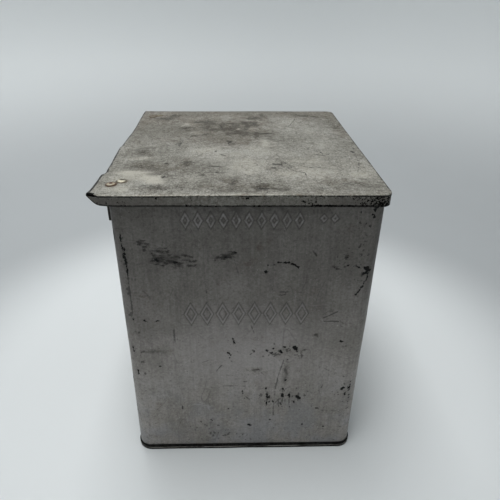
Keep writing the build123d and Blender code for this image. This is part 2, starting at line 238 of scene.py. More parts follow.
SCRATCHES = [
    (-115.4, 250, -115.6, 224, 0.45), (-115.6, 224, -116, 196, 0.4), (-111, 248, -112, 242, 0.3),
    (-108, 248, -109, 242, 0.2), (-116, 196, -116.5, 150, 0.1), (79, 196, 91, 203, 0.7),
    (80, 191.5, 95, 191.5, 0.8), (91, 203, 93, 203.5, 0.5), (-75.5, 186, -75, 164, 0.3),
    (40, 140, 36, 120, 0.35), (36, 120, 33, 98, 0.35), (33, 98, 31.5, 54, 0.3), (-30, 102.5, 0, 102, 0.4),
    (-8, 109, 0, 109, 0.4), (-2, 87, 5, 79, 0.2), (-35, 120, -26, 133, 0.1), (-48, 137, -32, 142, 0.1),
    (62, 275, 66, 269, 0.3), (30, 228, 56, 227.5, 0.1), (88, 62, 105, 60, 0.4), (85, 63, 108, 62, 0.1),
    (100, 119, 78, 131, 0.0), (5, 186, 8, 176, 0.3), (8, 176, 9, 174, 0.1), (-78, 296, -79, 284, 0.0),
    (-40, 228, -41, 242, 0.0), (88, 108, 84, 98, 0.3), (9, 152, 4, 148, 0.2), (24, 92, 24, 70, 0.5),
    (41, 100, 42, 68, 0.4), (37, 80, 38, 68, 0.2), (45, 82, 45, 67, 0.2), (50, 92, 50, 66, 0.3),
    (60, 90, 60, 78, 0.6), (66, 90, 67, 80, 0.1), (59, 148, 60, 143, 0.3), (77, 27, 77.5, 18, 0.2),
    (75, 71, 76, 68, 0.4), (103, 158, 106, 158, 0.4), (19, 259, 27, 260, 0.0),
]

FRONT_SMUDGES_AND_SHADE = [  # darker above 0, paler below; the long bands at the foot and under the lid are painted shade
    (-76, 267, 20, 8, 0.58), (-22, 268, 11, 5, 0.35), (-103, 153.5, 9, 3.8, 0.5),
    (-90, 153.5, 9, 3.8, 0.46), (43.5, 121, 2.2, 11, 1.0), (44.2, 112, 2.0, 4, 0.8),
    (74, 171, 3.0, 3.0, 0.5), (45, 150, 20, 8, 0.1), (42, 82, 24, 12, 0.14), (-33, 88, 10, 8, 0.14),
    (8, 126, 8, 2, 0.35), (15, 122, 8, 2, 0.2), (-111, 233, 9, 7, 0.08), (-110, 207, 8, 10, 0.06),
    (0, 170, 90, 45, -0.12), (-10, 120, 90, 45, -0.1), (95, 100, 20, 35, -0.04), (-70, 60, 50, 25, 0.03),
    (-30, 26, 30, 7, 0.3), (-42, 44, 12, 6, 0.22), (-50, 14, 24, 5, 0.2), (70, 22, 40, 8, 0.1),
    (110, 285, 16, 30, 0.12), (40, 213, 4, 9, 0.2), (-117, 268, 3, 16, 0.3), (118, 100, 5, 40, 0.2),
    # painted shade: the bands at (0, 9) along the foot and (0, 322) under the lid
    (95, 62, 16, 4, 0.18), (0, 9, 140, 4, 0.16), (0, 322, 140, 14, 0.45), (46, 285, 4, 3, 0.15),
    (88, 256, 8, 4, 0.2),
]

# ---------------- wear and painted highlights on the lid's top, mm
# Across from the middle of the body, and back from the front wall, in the same forms.

LID_STAINS = [  # broad thin brown and grey weathering
    (0, 285, 150, 60, 0.34), (-95, 70, 40, 34, 0.34), (110, 180, 30, 130, 0.08), (-30, 215, 90, 62, 0.42),
    (-20, 165, 60, 40, 0.3), (0, 310, 140, 14, 0.35), (-115, 190, 30, 60, 0.3), (-32, 226, 34, 20, 0.25),
    (-5, 200, 24, 13, 0.3), (12, 240, 9, 13, 0.3), (-52, 248, 14, 12, 0.3), (-118, 250, 26, 50, 0.3),
    (-95, 287, 28, 24, 0.45), (-70, 292, 32, 18, 0.35), (-128, 272, 12, 28, 0.3), (-58, 240, 20, 24, 0.3),
    (-20, 228, 36, 22, 0.35), (10, 240, 14, 16, 0.4), (-56, 204, 26, 14, 0.35), (-18, 182, 38, 26, 0.3),
    (-12, 158, 22, 16, 0.2), (15, 284, 16, 18, 0.5), (-5, 298, 13, 12, 0.35), (80, 290, 32, 14, 0.5),
    (50, 303, 60, 7, 0.4), (101, 280, 9, 13, 0.45), (118, 235, 9, 55, 0.35), (122, 287, 14, 28, 0.4),
    (-112, 118, 17, 15, 0.5), (-106, 76, 26, 16, 0.5), (-62, 88, 10, 12, 0.4), (-80, 60, 20, 12, 0.4),
    (-45, 66, 14, 12, 0.35), (-82, 14, 20, 8, 0.5), (-14, 34, 16, 18, 0.5), (-26, 14, 24, 8, 0.4),
    (16, 14, 18, 10, 0.5), (90, 30, 26, 13, 0.45), (45, 26, 40, 14, 0.15), (125, 190, 10, 110, 0.35),
    (-132, 220, 8, 80, 0.25), (108, 21, 15, 9, 0.5), (65, 10, 14, 5, 0.35), (33, 78, 8, 7, 0.3),
    (29, 64, 8, 7, 0.3), (24, 192, 16, 8, 0.35),
]

LID_DARK = [  # the strong dark middles of the stains
    (-14, 241, 26, 3.5, 0.45), (2, 196, 20, 2.5, 0.4), (-52, 253, 12, 6, 0.75), (-46, 242, 7, 10, 0.65),
    (-63, 250, 5, 4, 0.4), (-50, 226, 9, 11, 0.4), (-38, 212, 13, 7, 0.6), (-74, 223, 9, 4, 0.9),
    (-79, 216, 5, 5, 0.6), (-70, 211, 4, 5, 0.5), (-29, 231, 3.5, 11, 0.75), (-22, 216, 9, 7, 0.85),
    (-12, 229, 7, 9, 0.6), (-18, 243, 6, 4, 0.35), (0, 246, 5, 6, 0.75), (12, 246, 6, 6, 0.8),
    (14, 233, 5, 8, 0.8), (4, 230, 4, 9, 0.65), (3, 217, 4, 7, 0.7), (-8, 205, 8, 7, 0.8),
    (-2, 192, 7, 9, 0.75), (-11, 195, 11, 5, 0.6), (-20, 190, 3.5, 8, 0.5), (15, 193, 5, 4, 0.8),
    (25, 192, 9, 2.6, 0.85), (14, 184, 4, 7, 0.7), (12, 176, 3, 6, 0.4), (-48, 192, 5, 9, 0.55),
    (-62, 185, 7, 5, 0.4), (-18, 161, 3, 5, 0.85), (-15, 150, 4, 5, 0.5), (-75, 158, 1.8, 14, 0.35),
    (-75, 146, 2.4, 5, 0.4), (11, 268, 7, 5, 0.75), (12, 277, 5, 6, 0.6), (20, 272, 5, 6, 0.5),
    (26, 286, 4, 11, 0.4), (-113, 268, 10, 5, 0.6), (-102, 271, 6, 9, 0.65), (-96, 285, 7, 9, 0.55),
    (75, 291, 6, 4, 0.5), (82, 284, 9, 7, 0.5), (90, 288, 5, 5, 0.55), (100, 281, 4, 7, 0.6),
    (65, 308, 8, 4, 0.5), (118, 225, 4, 11, 0.35), (-113, 119, 7, 7, 0.55), (-110, 72, 11, 5, 0.5),
    (-94, 67, 5, 4, 0.6), (-62, 86, 3, 4, 0.8), (-60, 80, 4, 8, 0.4), (-83, 83, 1.8, 2, 0.7),
    (-86, 50, 9, 3.5, 0.4), (-81, 43, 2.5, 3, 0.8), (-44, 61, 2.5, 2.5, 0.6), (-43, 48, 2, 1.5, 0.8),
    (-30, 55, 3, 2, 0.5), (-32, 73, 6, 1.8, 0.6), (-85, 16, 9, 3.5, 0.55), (-76, 11, 8, 3, 0.5),
    (-62, 17, 6, 2.5, 0.35), (-97, 18, 5, 3, 0.3), (-13, 34, 3, 6, 0.5), (-12, 24, 4, 4, 0.45),
    (-24, 9, 8, 3, 0.35), (-14, 12, 4, 4, 0.4), (-5, 5, 12, 1.6, 0.5), (10, 15, 5, 5, 0.7),
    (16, 18, 4, 4, 0.6), (33, 9, 4, 2.5, 0.6), (24, 10, 6, 2, 0.45), (31, 78, 4, 2.2, 0.8),
    (36, 80, 2, 4, 0.6), (27, 67, 2.5, 2, 0.7), (110, 21, 7, 4, 0.5), (96, 24, 8, 3, 0.4),
    (67, 11, 6, 1.8, 0.45), (86, 110, 6, 1.6, 0.45),
]

LID_PALE = [  # bare bright zinc; the two strips along the front edge are a painted highlight on the bend, and the ovals over the two raised blisters are partly a painted highlight on them
    (-75, 239, 8, 8, 0.75), (-61, 199, 8, 7, 0.6), (-8.5, 213, 2.2, 4, 0.95), (9, 215, 6, 5, 0.5),
    (24, 150, 8, 10, 0.45), (20, 162, 8, 8, 0.4), (7, 175, 8, 6, 0.3), (18, 128, 28, 20, 0.34),
    (-42, 126, 26, 18, 0.34), (-20, 96, 32, 18, 0.32), (-8, 64, 16, 16, 0.4), (6, 80, 20, 26, 0.24),
    (-115, 55, 16, 5, 0.85), (-95, 42, 11, 9, 0.8), (-88, 32, 8, 9, 0.85), (-118, 38, 14, 18, 0.6),
    (-118, 12, 14, 8, 0.6), (-115, 97, 14, 7, 0.5), (-56, 40, 12, 10, 0.4), (40, 48, 30, 14, 0.4),
    (60, 84, 36, 26, 0.3), (-22, 275, 16, 22, 0.2), (60, 230, 34, 44, 0.25), (92, 150, 28, 54, 0.2),
    # painted highlight: the two strips at (-60, -1) and (60, -1), along the front bend
    (112, 60, 16, 30, 0.3), (80, 50, 40, 26, 0.25), (52, 16, 14, 8, 0.3), (-60, -1, 80, 4, 0.25),
    (60, -1, 60, 3, 0.2),
]

LID_CRACKLE = [  # finely crackled paint
    (0, 18, 140, 24, 0.6), (50, 78, 44, 32, 0.7), (-84, 72, 44, 32, 0.75), (-36, 56, 20, 20, 0.6),
    (-112, 120, 22, 18, 0.5), (5, 165, 60, 34, 0.3), (-40, 200, 60, 46, 0.35), (110, 80, 24, 50, 0.35),
]

LID_CHIPS = [  # chips, scratches and cracks
    (-33.5, 125, -33.3, 121, 1.0), (-28, 112, -21, 105, 0.7), (57, 226, 71, 268, 0.1),
    (58, 72, 64, 69, 0.5), (64, 69, 74, 69, 0.6), (42, 69, 46, 60, 0.5), (46, 60, 56, 53, 0.5),
    (110, 56, 117, 79, 0.0), (-82, 84, -83, 82, 0.8), (-80, 44, -80.5, 41, 1.0), (-46, 48, -42, 47, 0.8),
    (-30, 55, -28, 55, 0.8), (28, 80, 36, 76, 0.9), (27, 67, 28, 66, 1.0), (82, 120, 84, 116, 0.6),
    (74, 112, 86, 108, 0.6), (28, 136, 30, 134, 0.8), (118, 123, 119, 118, 1.0), (-76, 152, -75, 141, 0.2),
    (-74, 168, -72, 152, 0.0), (-38, 73, -28, 72, 0.7), (10, 12, 18, 11, 1.1), (30, 28, 32, 28, 0.7),
    (96, 49, 88, 51, 0.4), (-18, 160, -17, 156, 1.2), (15, 196, 32, 191, 0.7), (-31, 232, -30, 222, 0.6),
    (126, 207, 124.5, 155, 0.0), (124.5, 155, 121, 121, 0.0), (121, 121, 117, 80, 0.1),
    (38, 86, 43, 76, 0.3), (43, 76, 46, 69, 0.2), (56, 53, 58, 45, 0.3), (117, 250, 126, 207, -0.1),
    (-21.5, 165, -18, 141, 0.1), (-80, 100.5, -52, 97, -0.1), (-5, 52, 17, 28, 0.0), (99, 27, 121, 12, 0.0),
]

# ---------------- pressed lozenges on the front wall, mm

PRESS_HEIGHT = 0.6
PRESS_STROKE = 2.2
PRESS_SPACING = 2.6
TITLE_ROWS = [  # (width, height) of a lozenge, middle of the row, level, count
    ((9.0, 17.0), -5.0, 307.0, 10),
    ((7.5, 9.0), 74.5, 309.0, 2),
]
NAME_ROWS = [((13.5, 27.0), -0.5, 202.0, 8)]
FAR_AWAY = 99.0


def press_distance(wall, rows):
    """Distance of (across, up) points from the middle line of the nearest lozenge's outline."""
    nearest = np.full(len(wall), FAR_AWAY)
    for (width, tall), middle, level, count in rows:
        pitch = width + PRESS_SPACING
        half_count = (count - 1) / 2
        steps = np.clip(np.round((wall[:, 0] - middle) / pitch + half_count), 0, count - 1) - half_count
        dx = np.abs(wall[:, 0] - middle - steps * pitch)
        dy = np.abs(wall[:, 1] - level)
        inward = (1 - 2 * dx / width - 2 * dy / tall) * width * tall / (2 * math.hypot(width, tall))
        nearest = np.minimum(nearest, np.abs(inward - PRESS_STROKE / 2))
    return nearest


# ---------------- mesh making


def add_object(name, mesh, material):
    """A smooth-shaded object in the scene."""
    mesh.polygons.foreach_set("use_smooth", [True] * len(mesh.polygons))
    mesh.materials.append(material)
    piece = bpy.data.objects.new(name, mesh)
    bpy.context.scene.collection.objects.link(piece)
    return piece


def mesh_piece(name, points, faces, body, material, replaced, fields):
    """A piece from points in mm, with float fields stored on them, riding on a body for the named nodes."""
    mesh = bpy.data.meshes.new(name)
    mesh.from_pydata((np.asarray(points) * MM).tolist(), [], faces)
    for field_name, values in fields.items():
        attribute = mesh.attributes.new(field_name, "FLOAT", "POINT")
        attribute.data.foreach_set("value", np.asarray(values, np.float32))
    mesh.validate()
    piece = add_object(name, mesh, material)
    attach(piece, body)
    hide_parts(*replaced)
    return piece


def graded(*spans):
    """Positions along a line from (start, end, step) spans that meet end to end."""
    parts = []
    for start, end, step in spans:
        count = max(1, round((end - start) / step))
        parts.append(np.linspace(start, end, count, endpoint=False))
    parts.append([spans[-1][1]])
    return np.concatenate(parts)


def rounded_outline(half_x, half_y, radius, front, side, back, arc_steps):
    """Loop of points and outward normals round a rounded rectangle, from the front wall's left end.

    front, side and back are the positions along the straight walls, about the middle.
    """
    points, normals = [], []

    def wall(positions, fixed, normal):
        for value in positions:
            points.append((value, fixed) if normal[1] else (fixed, value))
            normals.append(normal)

    def arc(cx, cy, start):
        for step in range(1, arc_steps):
            angle = start + math.pi / 2 * step / arc_steps
            normal = (math.cos(angle), math.sin(angle))
            points.append((cx + radius * normal[0], cy + radius * normal[1]))
            normals.append(normal)

    cx, cy = half_x - radius, half_y - radius
    wall(front, -half_y, (0, -1))
    arc(cx, -cy, -math.pi / 2)
    wall(side, half_x, (1, 0))
    arc(cx, cy, 0)
    wall(back[::-1], half_y, (0, 1))
    arc(-cx, cy, math.pi / 2)
    wall(side[::-1], -half_x, (-1, 0))
    arc(-cx, -cy, math.pi)
    return np.array(points), np.array(normals)


def grid_faces(columns, rows, start=0, closed=True, flip=False):
    """Quads between points that run row by row; a closed grid joins its last column to its first."""
    faces = []
    for row in range(rows - 1):
        for column in range(columns if closed else columns - 1):
            a = start + row * columns + column
            b = start + row * columns + (column + 1) % columns
            faces.append((a, a + columns, b + columns, b) if flip else (a, b, b + columns, a + columns))
    return faces


def rings_round(profile, steps, x, y, seed=None):
    """Points of a (radius, height) profile turned round the vertical through x, y; a seed makes it uneven."""
    points = []
    for radius, height in profile:
        for step in range(steps):
            angle = 2 * math.pi * step / steps
            reach = radius
            if seed is not None:
                reach *= 1 + 0.05 * math.sin(2 * angle + seed) + 0.03 * math.sin(3 * angle + 2 * seed)
            points.append((x + reach * math.cos(angle), y + reach * math.sin(angle), height))
    return points


# ---------------- the shell

SHELL_TOP = shell_high[2]
SHELL_FOOT = shell_low[2]
SEAM_TOP = seam_high[2]
LOCK_SEAM_HALF = 4.5
LOCK_SEAM_PROUD = 0.8
LOCK_SEAM_LOW = 8.5
LOCK_SEAM_HIGH = 319.5
FOOT_SPREAD = 1.3
SHELL_WAVES = [(0.32, 64, 3), (0.1, 17, 4)]
MOST_RELIEF = 0.6
CORNER_STEPS = 9
WALL_STEP = 1.3
FINE_STEP = 0.8  # over the pressed lozenges
PLAIN_STEP = 2.0  # on the sides and the back
SEAM_STEP = 0.6  # over the lock seam
SPECK_SEED = 7
WALL_SEED = 100
CHIP_GROUPS = 9
EDGE_CHIPS = 7
EDGE_OUT = 6  # how far past the end of the flat wall its edge's chips are
SCUFF_GROUPS = 6
SCUFFS = 4
SMUDGES = 12

# How squarely a point has to face a wall's normal to carry what is on that wall
ON_FLAT = 0.99
ON_DENTED = 0.9
ON_WORN = 0.72
ON_FRONT = 0.5

SHELL_DENTS = [  # wall, along it, up, half length, half height, depth
    ("front", -84, 268, 9, 5, 0.35),
    ("front", 52, 155, 5, 5, 0.4),
    ("front", 40, 86, 9, 12, 0.3),
    ("front", 116, 230, 6, 30, 0.3),
    ("front", -60, 90, 40, 34, 0.5),
    ("right", -40, 190, 45, 60, 0.7),
    ("right", 78, 70, 14, 10, 0.9),
    ("right", -96, 120, 8, 12, 0.6),
    ("left", 30, 150, 60, 70, 0.7),
    ("left", -70, 60, 12, 16, 0.9),
    ("left", 96, 214, 8, 6, 0.6),
    ("back", 60, 130, 34, 50, 0.7),
    ("back", -70, 220, 12, 9, 0.8),
    ("back", -30, 48, 16, 8, 0.7),
]
WALL_NORMALS = {"front": (0, -1), "right": (1, 0), "back": (0, 1), "left": (-1, 0)}


def on_wall(name, flat, normals, up):
    """How squarely each point faces along the named wall's normal, and its place along and up that wall."""
    x, y = WALL_NORMALS[name]
    return normals @ (x, y), np.column_stack([flat @ (-y, x), up])


def shell_relief(flat, normals, up):
    """Outward relief of the shell: waves, dents, pressed lozenges and the lock seam at the back."""
    relief = waves(at_level(flat, up), SHELL_WAVES)
    for wall, *dent in SHELL_DENTS:
        facing, place = on_wall(wall, flat, normals, up)
        relief -= (facing > ON_DENTED) * patch_field(place, [dent])
    calm = smooth_step(SEAM_TOP, SEAM_TOP + 16, up) * smooth_step(SHELL_TOP - 6, SHELL_TOP - 26, up)
    relief = np.clip(relief, -MOST_RELIEF, MOST_RELIEF) * calm
    relief += FOOT_SPREAD * np.clip(-normals[:, 0], 0, 1) * smooth_step(190, 50, up)
    facing, wall = on_wall("front", flat, normals, up)
    ridge = smooth_step(0.1, PRESS_STROKE / 2 + 0.2, press_distance(wall, TITLE_ROWS + NAME_ROWS))
    relief += (facing > ON_FLAT) * PRESS_HEIGHT * (1 - ridge)
    ends = smooth_step(LOCK_SEAM_LOW, LOCK_SEAM_LOW + 2, up)
    ends *= smooth_step(LOCK_SEAM_HIGH, LOCK_SEAM_HIGH - 2, up)
    seam = smooth_step(LOCK_SEAM_HALF, LOCK_SEAM_HALF - 1, np.abs(flat[:, 0]))
    return relief + (normals[:, 1] > ON_FLAT) * ends * seam * LOCK_SEAM_PROUD


def lock_seam_edge(flat, normals, up):
    """One along both edges of the lock seam at the back, where dirt sits."""
    inside = (normals[:, 1] > ON_FLAT) * (up > LOCK_SEAM_LOW) * (up < LOCK_SEAM_HIGH)
    return inside * bump(np.abs(flat[:, 0]) - LOCK_SEAM_HALF - 0.2, 0.7)


def specks(dice, x, y, reach_x, reach_y, count):
    """Small round chips scattered about a point, as strokes."""
    dots = []
    for _ in range(count):
        px, py = x + dice.normal(0, reach_x), y + dice.normal(0, reach_y)
        dots.append((px, py, px + dice.normal(0, 0.5), py + dice.normal(0, 0.9), dice.uniform(0.15, 0.75)))
    return dots


def places(dice, count, reach, low, high):
    """Places scattered over a wall, each drawn only when it is used."""
    for _ in range(count):
        yield dice.uniform(-reach, reach), dice.uniform(low, high)


def scattered_wear(seed, reach):
    """Chips, scuffs and dirt, as strokes and patches, for a wall that the photograph doesn't show, with bands
    of painted shade at the foot and under the lid.
    """
    dice = np.random.default_rng(seed)
    chips, marks, smudges_and_shade = [], [], []
    for x, y in places(dice, CHIP_GROUPS, reach, 20, 305):
        for _ in range(dice.integers(3, 9)):
            px, py = x + dice.normal(0, 7), y + dice.normal(0, 5)
            end = px + dice.normal(0, 1.6), py + dice.normal(0, 1.6)
            chips.append((px, py, *end, dice.uniform(0.4, 1.5)))
    for edge in (-reach - EDGE_OUT, reach + EDGE_OUT):
        for _ in range(EDGE_CHIPS):
            y = dice.uniform(30, 310)
            chips.append((edge, y, edge + dice.normal(0, 1), y + dice.uniform(3, 14), dice.uniform(0.5, 1.1)))
    for x, y in places(dice, SCUFF_GROUPS, reach, 30, 300):
        for _ in range(SCUFFS):
            px, py = x + dice.normal(0, 9), y + dice.normal(0, 3)
            end = px + dice.uniform(4, 16), py + dice.normal(0, 1.5)
            marks.append((px, py, *end, dice.uniform(0.8, 1.8)))
    for x, y in places(dice, SMUDGES, reach, 20, 320):
        smudges_and_shade.append((x, y, dice.uniform(8, 40), dice.uniform(5, 30), dice.uniform(-0.15, 0.3)))
    # painted shade: a band at the foot and one under the lid
    smudges_and_shade += [(0, 8, 1.2 * reach, 7, 0.5), (0, 322, 1.2 * reach, 12, 0.35)]
    return chips, marks, smudges_and_shade


def shell_fields(flat, normals, up):
    """The wear on the shell, with bands of painted shade at the foot and under the lid: the photographed
    front's, and scattered wear on the other walls.
    """
    dice = np.random.default_rng(SPECK_SEED)
    front_specks = [dot for cluster in SPECK_CLUSTERS for dot in specks(dice, *cluster)]
    facing, wall = on_wall("front", flat, normals, up)
    rim = press_distance(wall, TITLE_ROWS + NAME_ROWS) - 1.3
    fields = {
        "chip": stroke_field(warped(wall, 11, 5, 0.8), BLACK_CHIPS, spread=0.35),
        "scratch": stroke_field(warped(wall, 15, 14, 0.8), SCRATCHES + front_specks, spread=0.2),
        "smudge_and_shade": patch_field(warped(wall, 21, 7, 1.4), FRONT_SMUDGES_AND_SHADE),
        "mark": stroke_field(warped(wall, 25, 6, 1.6), SOFT_MARKS, 2.4),
        # the lozenges' relief is shown in paint too: a rubbed and painted highlight on the title strokes,
        # dirt and painted shade round every outline, a painted highlight on the name strokes
        "worn_press_and_highlight": bump(press_distance(wall, TITLE_ROWS), 0.9),
        "press_rim": bump(rim, 0.6),
        "name_press": bump(press_distance(wall, NAME_ROWS), 1.0),
    }
    fields = {name: field * (facing > ON_FRONT) for name, field in fields.items()}
    fields["lock_edge"] = lock_seam_edge(flat, normals, up)
    straight_x, straight_y = half_width - BODY_CORNER, half_depth - BODY_CORNER
    walls = ("right", straight_y), ("back", straight_x), ("left", straight_y)
    for seed, (name, reach) in enumerate(walls, WALL_SEED):
        facing, wall = on_wall(name, flat, normals, up)
        chips, marks, smudges_and_shade = scattered_wear(seed, reach)
        fields["chip"] += (facing > ON_WORN) * stroke_field(warped(wall, 71), chips)
        fields["mark"] += (facing > ON_WORN) * stroke_field(warped(wall, 75, 6, 1.6), marks, 2.4)
        fields["smudge_and_shade"] += (facing > ON_WORN) * patch_field(warped(wall, 79, 9, 3.0), smudges_and_shade)
    return fields


def add_shell(material):
    """The body's wall: an outer face with its relief, and a plain inner one a sheet behind it."""
    straight_x, straight_y = half_width - BODY_CORNER, half_depth - BODY_CORNER
    front = graded((-straight_x, -67, WALL_STEP), (-67, 86, FINE_STEP), (86, straight_x, WALL_STEP))
    side = graded((-straight_y, straight_y, PLAIN_STEP))
    back = graded((-straight_x, -6, PLAIN_STEP), (-6, 6, SEAM_STEP), (6, straight_x, PLAIN_STEP))
    outline, normals = rounded_outline(half_width, half_depth, BODY_CORNER, front, side, back, CORNER_STEPS)
    levels = (SHELL_FOOT, 186, 218, 296, 319, SHELL_TOP)
    steps = (WALL_STEP, FINE_STEP, WALL_STEP, FINE_STEP, WALL_STEP)
    rows = graded(*zip(levels, levels[1:], steps))
    columns, count = len(outline), len(rows)
    flat = np.tile(outline, (count, 1))
    out = np.tile(normals, (count, 1))
    up = np.repeat(rows, columns)
    outer = at_level(flat + out * shell_relief(flat, out, up)[:, None], up)
    inner = [at_level(outline - normals * SHEET, level) for level in (SHELL_TOP, SHELL_FOOT)]
    points = np.vstack([outer, *inner]) + (body_middle, 0, 0)
    last = (count + 1) * columns
    faces = grid_faces(columns, count + 2)
    for column in range(columns):
        after = (column + 1) % columns
        faces.append((last + column, last + after, after, column))
    fields = shell_fields(flat, out, up)
    fields = {name: np.concatenate([field, np.zeros(2 * columns)]) for name, field in fields.items()}
    mesh_piece("shell_skin", points, faces, "body", material, ["outer_shell"], fields)


# ---------------- the rolled seam at the foot

# heights between which the seam's painted highlight runs, with painted shade above and below it
BEAD_LOW = 2.9
BEAD_HIGH = 3.7
FOOT_STEP = 3.0
FOOT_CORNER_STEPS = 8
FOOT_WAVE = 0.2
FOOT_CELL = 26
FOOT_SEED = 31
SEAM_PROFILE = [  # out from the wall's face, and up, down the outside
    (0.0, SEAM_TOP - 0.5), (0.4, SEAM_TOP - 0.1), (0.9, SEAM_TOP), (1.2, SEAM_TOP - 0.1),
    (seam_proud - 0.1, SEAM_TOP - 0.4), (seam_proud, 5.8), (seam_proud - 0.1, 5.3), (seam_proud - 0.5, 4.8),
    (seam_proud - 0.6, 4.3), (seam_proud - 0.3, 3.8), (seam_proud, 3.6), (seam_proud, 3.0),
    (seam_proud - 0.1, 2.8), (seam_proud - 0.2, 1.8), (seam_proud - 0.3, 0.9), (seam_proud - 0.4, 0.0),
]
BOTTOM_PROFILE = [  # the recessed bottom, from under the wall inwards
    (-0.9, 0.0), (-1.6, 0.5), (-1.9, 1.4), (-2.2, 2.6), (-3.2, 3.2), (-12.0, 3.2), (-30.0, 3.25),
    (-34.0, 3.7), (-38.0, 3.2), (-110.0, 3.2),
]


def seam_ring(outline, normals, offset, level):
    """One loop of the foot: out from the wall's face, or drawn in towards the bottom's middle."""
    if offset < 1 - BODY_CORNER:
        ring = outline * ((half_width + offset) / half_width, (half_depth + offset) / half_depth)
    else:
        ring = outline + normals * offset
    points = at_level(ring, level)
    points[:, 0] -= FOOT_SPREAD * np.clip(-normals[:, 0], 0, 1) * (offset > -1)
    if offset > 0:
        wave = FOOT_WAVE * soft_noise(at_level(outline), FOOT_CELL, FOOT_SEED)
        points[:, :2] += normals * np.minimum(0, wave[:, None] - FOOT_WAVE / 2)
        points[:, 2] += np.minimum(wave, 0) * (level > 3)
    return points


def add_foot_seam(material):
    """The bottom's edge rolled over the shell's lower edge, and the recessed bottom inside it."""
    front = graded((BODY_CORNER - half_width, half_width - BODY_CORNER, FOOT_STEP))
    side = graded((BODY_CORNER - half_depth, half_depth - BODY_CORNER, FOOT_STEP))
    outline, normals = rounded_outline(
        half_width, half_depth, BODY_CORNER, front, side, front, FOOT_CORNER_STEPS
    )
    loops, crevice_shade, bead_highlight = [], [], []
    for offset, level in SEAM_PROFILE + BOTTOM_PROFILE:
        loops.append(seam_ring(outline, normals, offset, level))
        # painted shade over the seam's face above and below the bead, and a painted highlight along the bead
        dark = (level > BEAD_HIGH and offset > 0.2) or (level < BEAD_LOW and offset > 0)
        crevice_shade += [float(dark)] * len(outline)
        bead_highlight += [float(BEAD_LOW < level < BEAD_HIGH and offset > 0)] * len(outline)
    columns = len(outline)
    points = np.vstack(loops) + (body_middle, 0, 0)
    faces = grid_faces(columns, len(loops), flip=True)
    faces.append(tuple(range(len(points) - columns, len(points)))[::-1])
    fields = {"crevice_shade": crevice_shade, "bead_highlight": bead_highlight}
    mesh_piece("foot_seam", points, faces, "body", material, ["bottom_pan"], fields)


# ---------------- the lid's cover

LID_CORNER = 10.0
LID_BEND = 1.5
LID_SKIRT = cover_high[2] - cover_low[2]
LID_GRID = 1.5
BORDER_STEPS = 5
BEND_STEPS = 4
SKIRT_STEPS = 7
ARC_STEPS = 8
CLOSE_MM = 0.01  # points as near as this are one
RAW_EDGE = [  # back from the front wall, and how far the hinge side's raw edge is worn inwards
    (-3, 0.4), (4, 0.1), (15, 0.8), (28, 1.1), (36, 1.1), (44, 0.9), (49, 1.2), (52, 3.6), (56, 4.4),
    (60, 3.8), (69, 3.3), (85, 2.9), (101, 2.0), (120, 1.3), (136, 0.8), (140, 1.9), (177, 2.5), (199, 3.1),
    (222, 2.9), (248, 1.9), (275, 0.8), (304, 0.3), (315, 0.6),
]
SKIRT_CHIPS = [  # across, and down from the lid's top
    (-114, 10.0, -109, 10.4, 0.5), (60, 9.4, 74, 9.8, 0.9), (-55, 10.0, -52, 10.4, 0.5),
    (-43, 9.8, -37, 10.6, 0.6), (-36, 10.6, -28, 10.9, 0.4), (-20, 10.6, -8, 10.8, 0.4),
    (4, 10.4, 22, 10.8, 0.5), (-95, 2.7, -91, 2.7, 0.4), (-104, 2.6, -101, 2.6, 0.2),
    (-83, 2.7, -81, 2.7, 0.1), (84, 9.9, 93, 10.2, 0.7), (38, 10.4, 55, 10.7, 0.4),
    (-110, 6.0, -109, 6.6, 0.4), (-52, 4.0, -50, 4.2, 0.3), (-5, 2.8, 0, 2.8, 0.4), (48, 5.0, 50, 6.5, 0.8),
]
SKIRT_END = [  # along from the hinge side, and how far down the skirt reaches
    (0, 1.9), (1, 3.4), (3, 5.4), (5, 7.4), (7, 8.8), (10, 9.8), (17, 10.5), (24, 11.0),
]
TIP_LIFT = 1.35  # of the hinge side's front tip, which is bent up
LID_TWIST = 1.2  # how much higher the rest lies than the strip over the hinges
LID_RISE = 1.35  # most that the sheet rises over its nominal top
LID_WAVES = [(0.28, 70, 61), (0.1, 20, 62)]
LID_CALM = [(-122, 27, 22, 22, 1), (-122, 284, 22, 22, 1)]  # round the rivets the sheet is held flat
LID_DENTS = [  # across, back, half length, half height, depth
    (-34, 123, 3, 4, 0.45), (-75, 238, 8, 9, -0.6), (-61, 198, 8, 7, -0.5), (-20, 225, 30, 22, 0.35),
    (40, 120, 50, 40, 0.3), (-70, 160, 26, 40, 0.25), (96, 60, 20, 26, 0.25), (112, 300, 14, 10, -0.4),
    (60, 306, 40, 6, -0.3), (-60, 306, 30, 6, 0.3),
]


def lid_rings():
    """(out from the inset rectangle, down from the top) of each ring of the cover's border."""
    flat_reach = LID_CORNER - LID_BEND
    rings = [(flat_reach * step / BORDER_STEPS, 0.0) for step in range(BORDER_STEPS + 1)]
    for step in range(1, BEND_STEPS + 1):
        angle = math.pi / 2 * step / BEND_STEPS
        rings.append((flat_reach + LID_BEND * math.sin(angle), LID_BEND * (1 - math.cos(angle))))
    for step in range(1, SKIRT_STEPS + 1):
        rings.append((LID_CORNER, LID_BEND + (LID_SKIRT - LID_BEND) * step / SKIRT_STEPS))
    return rings


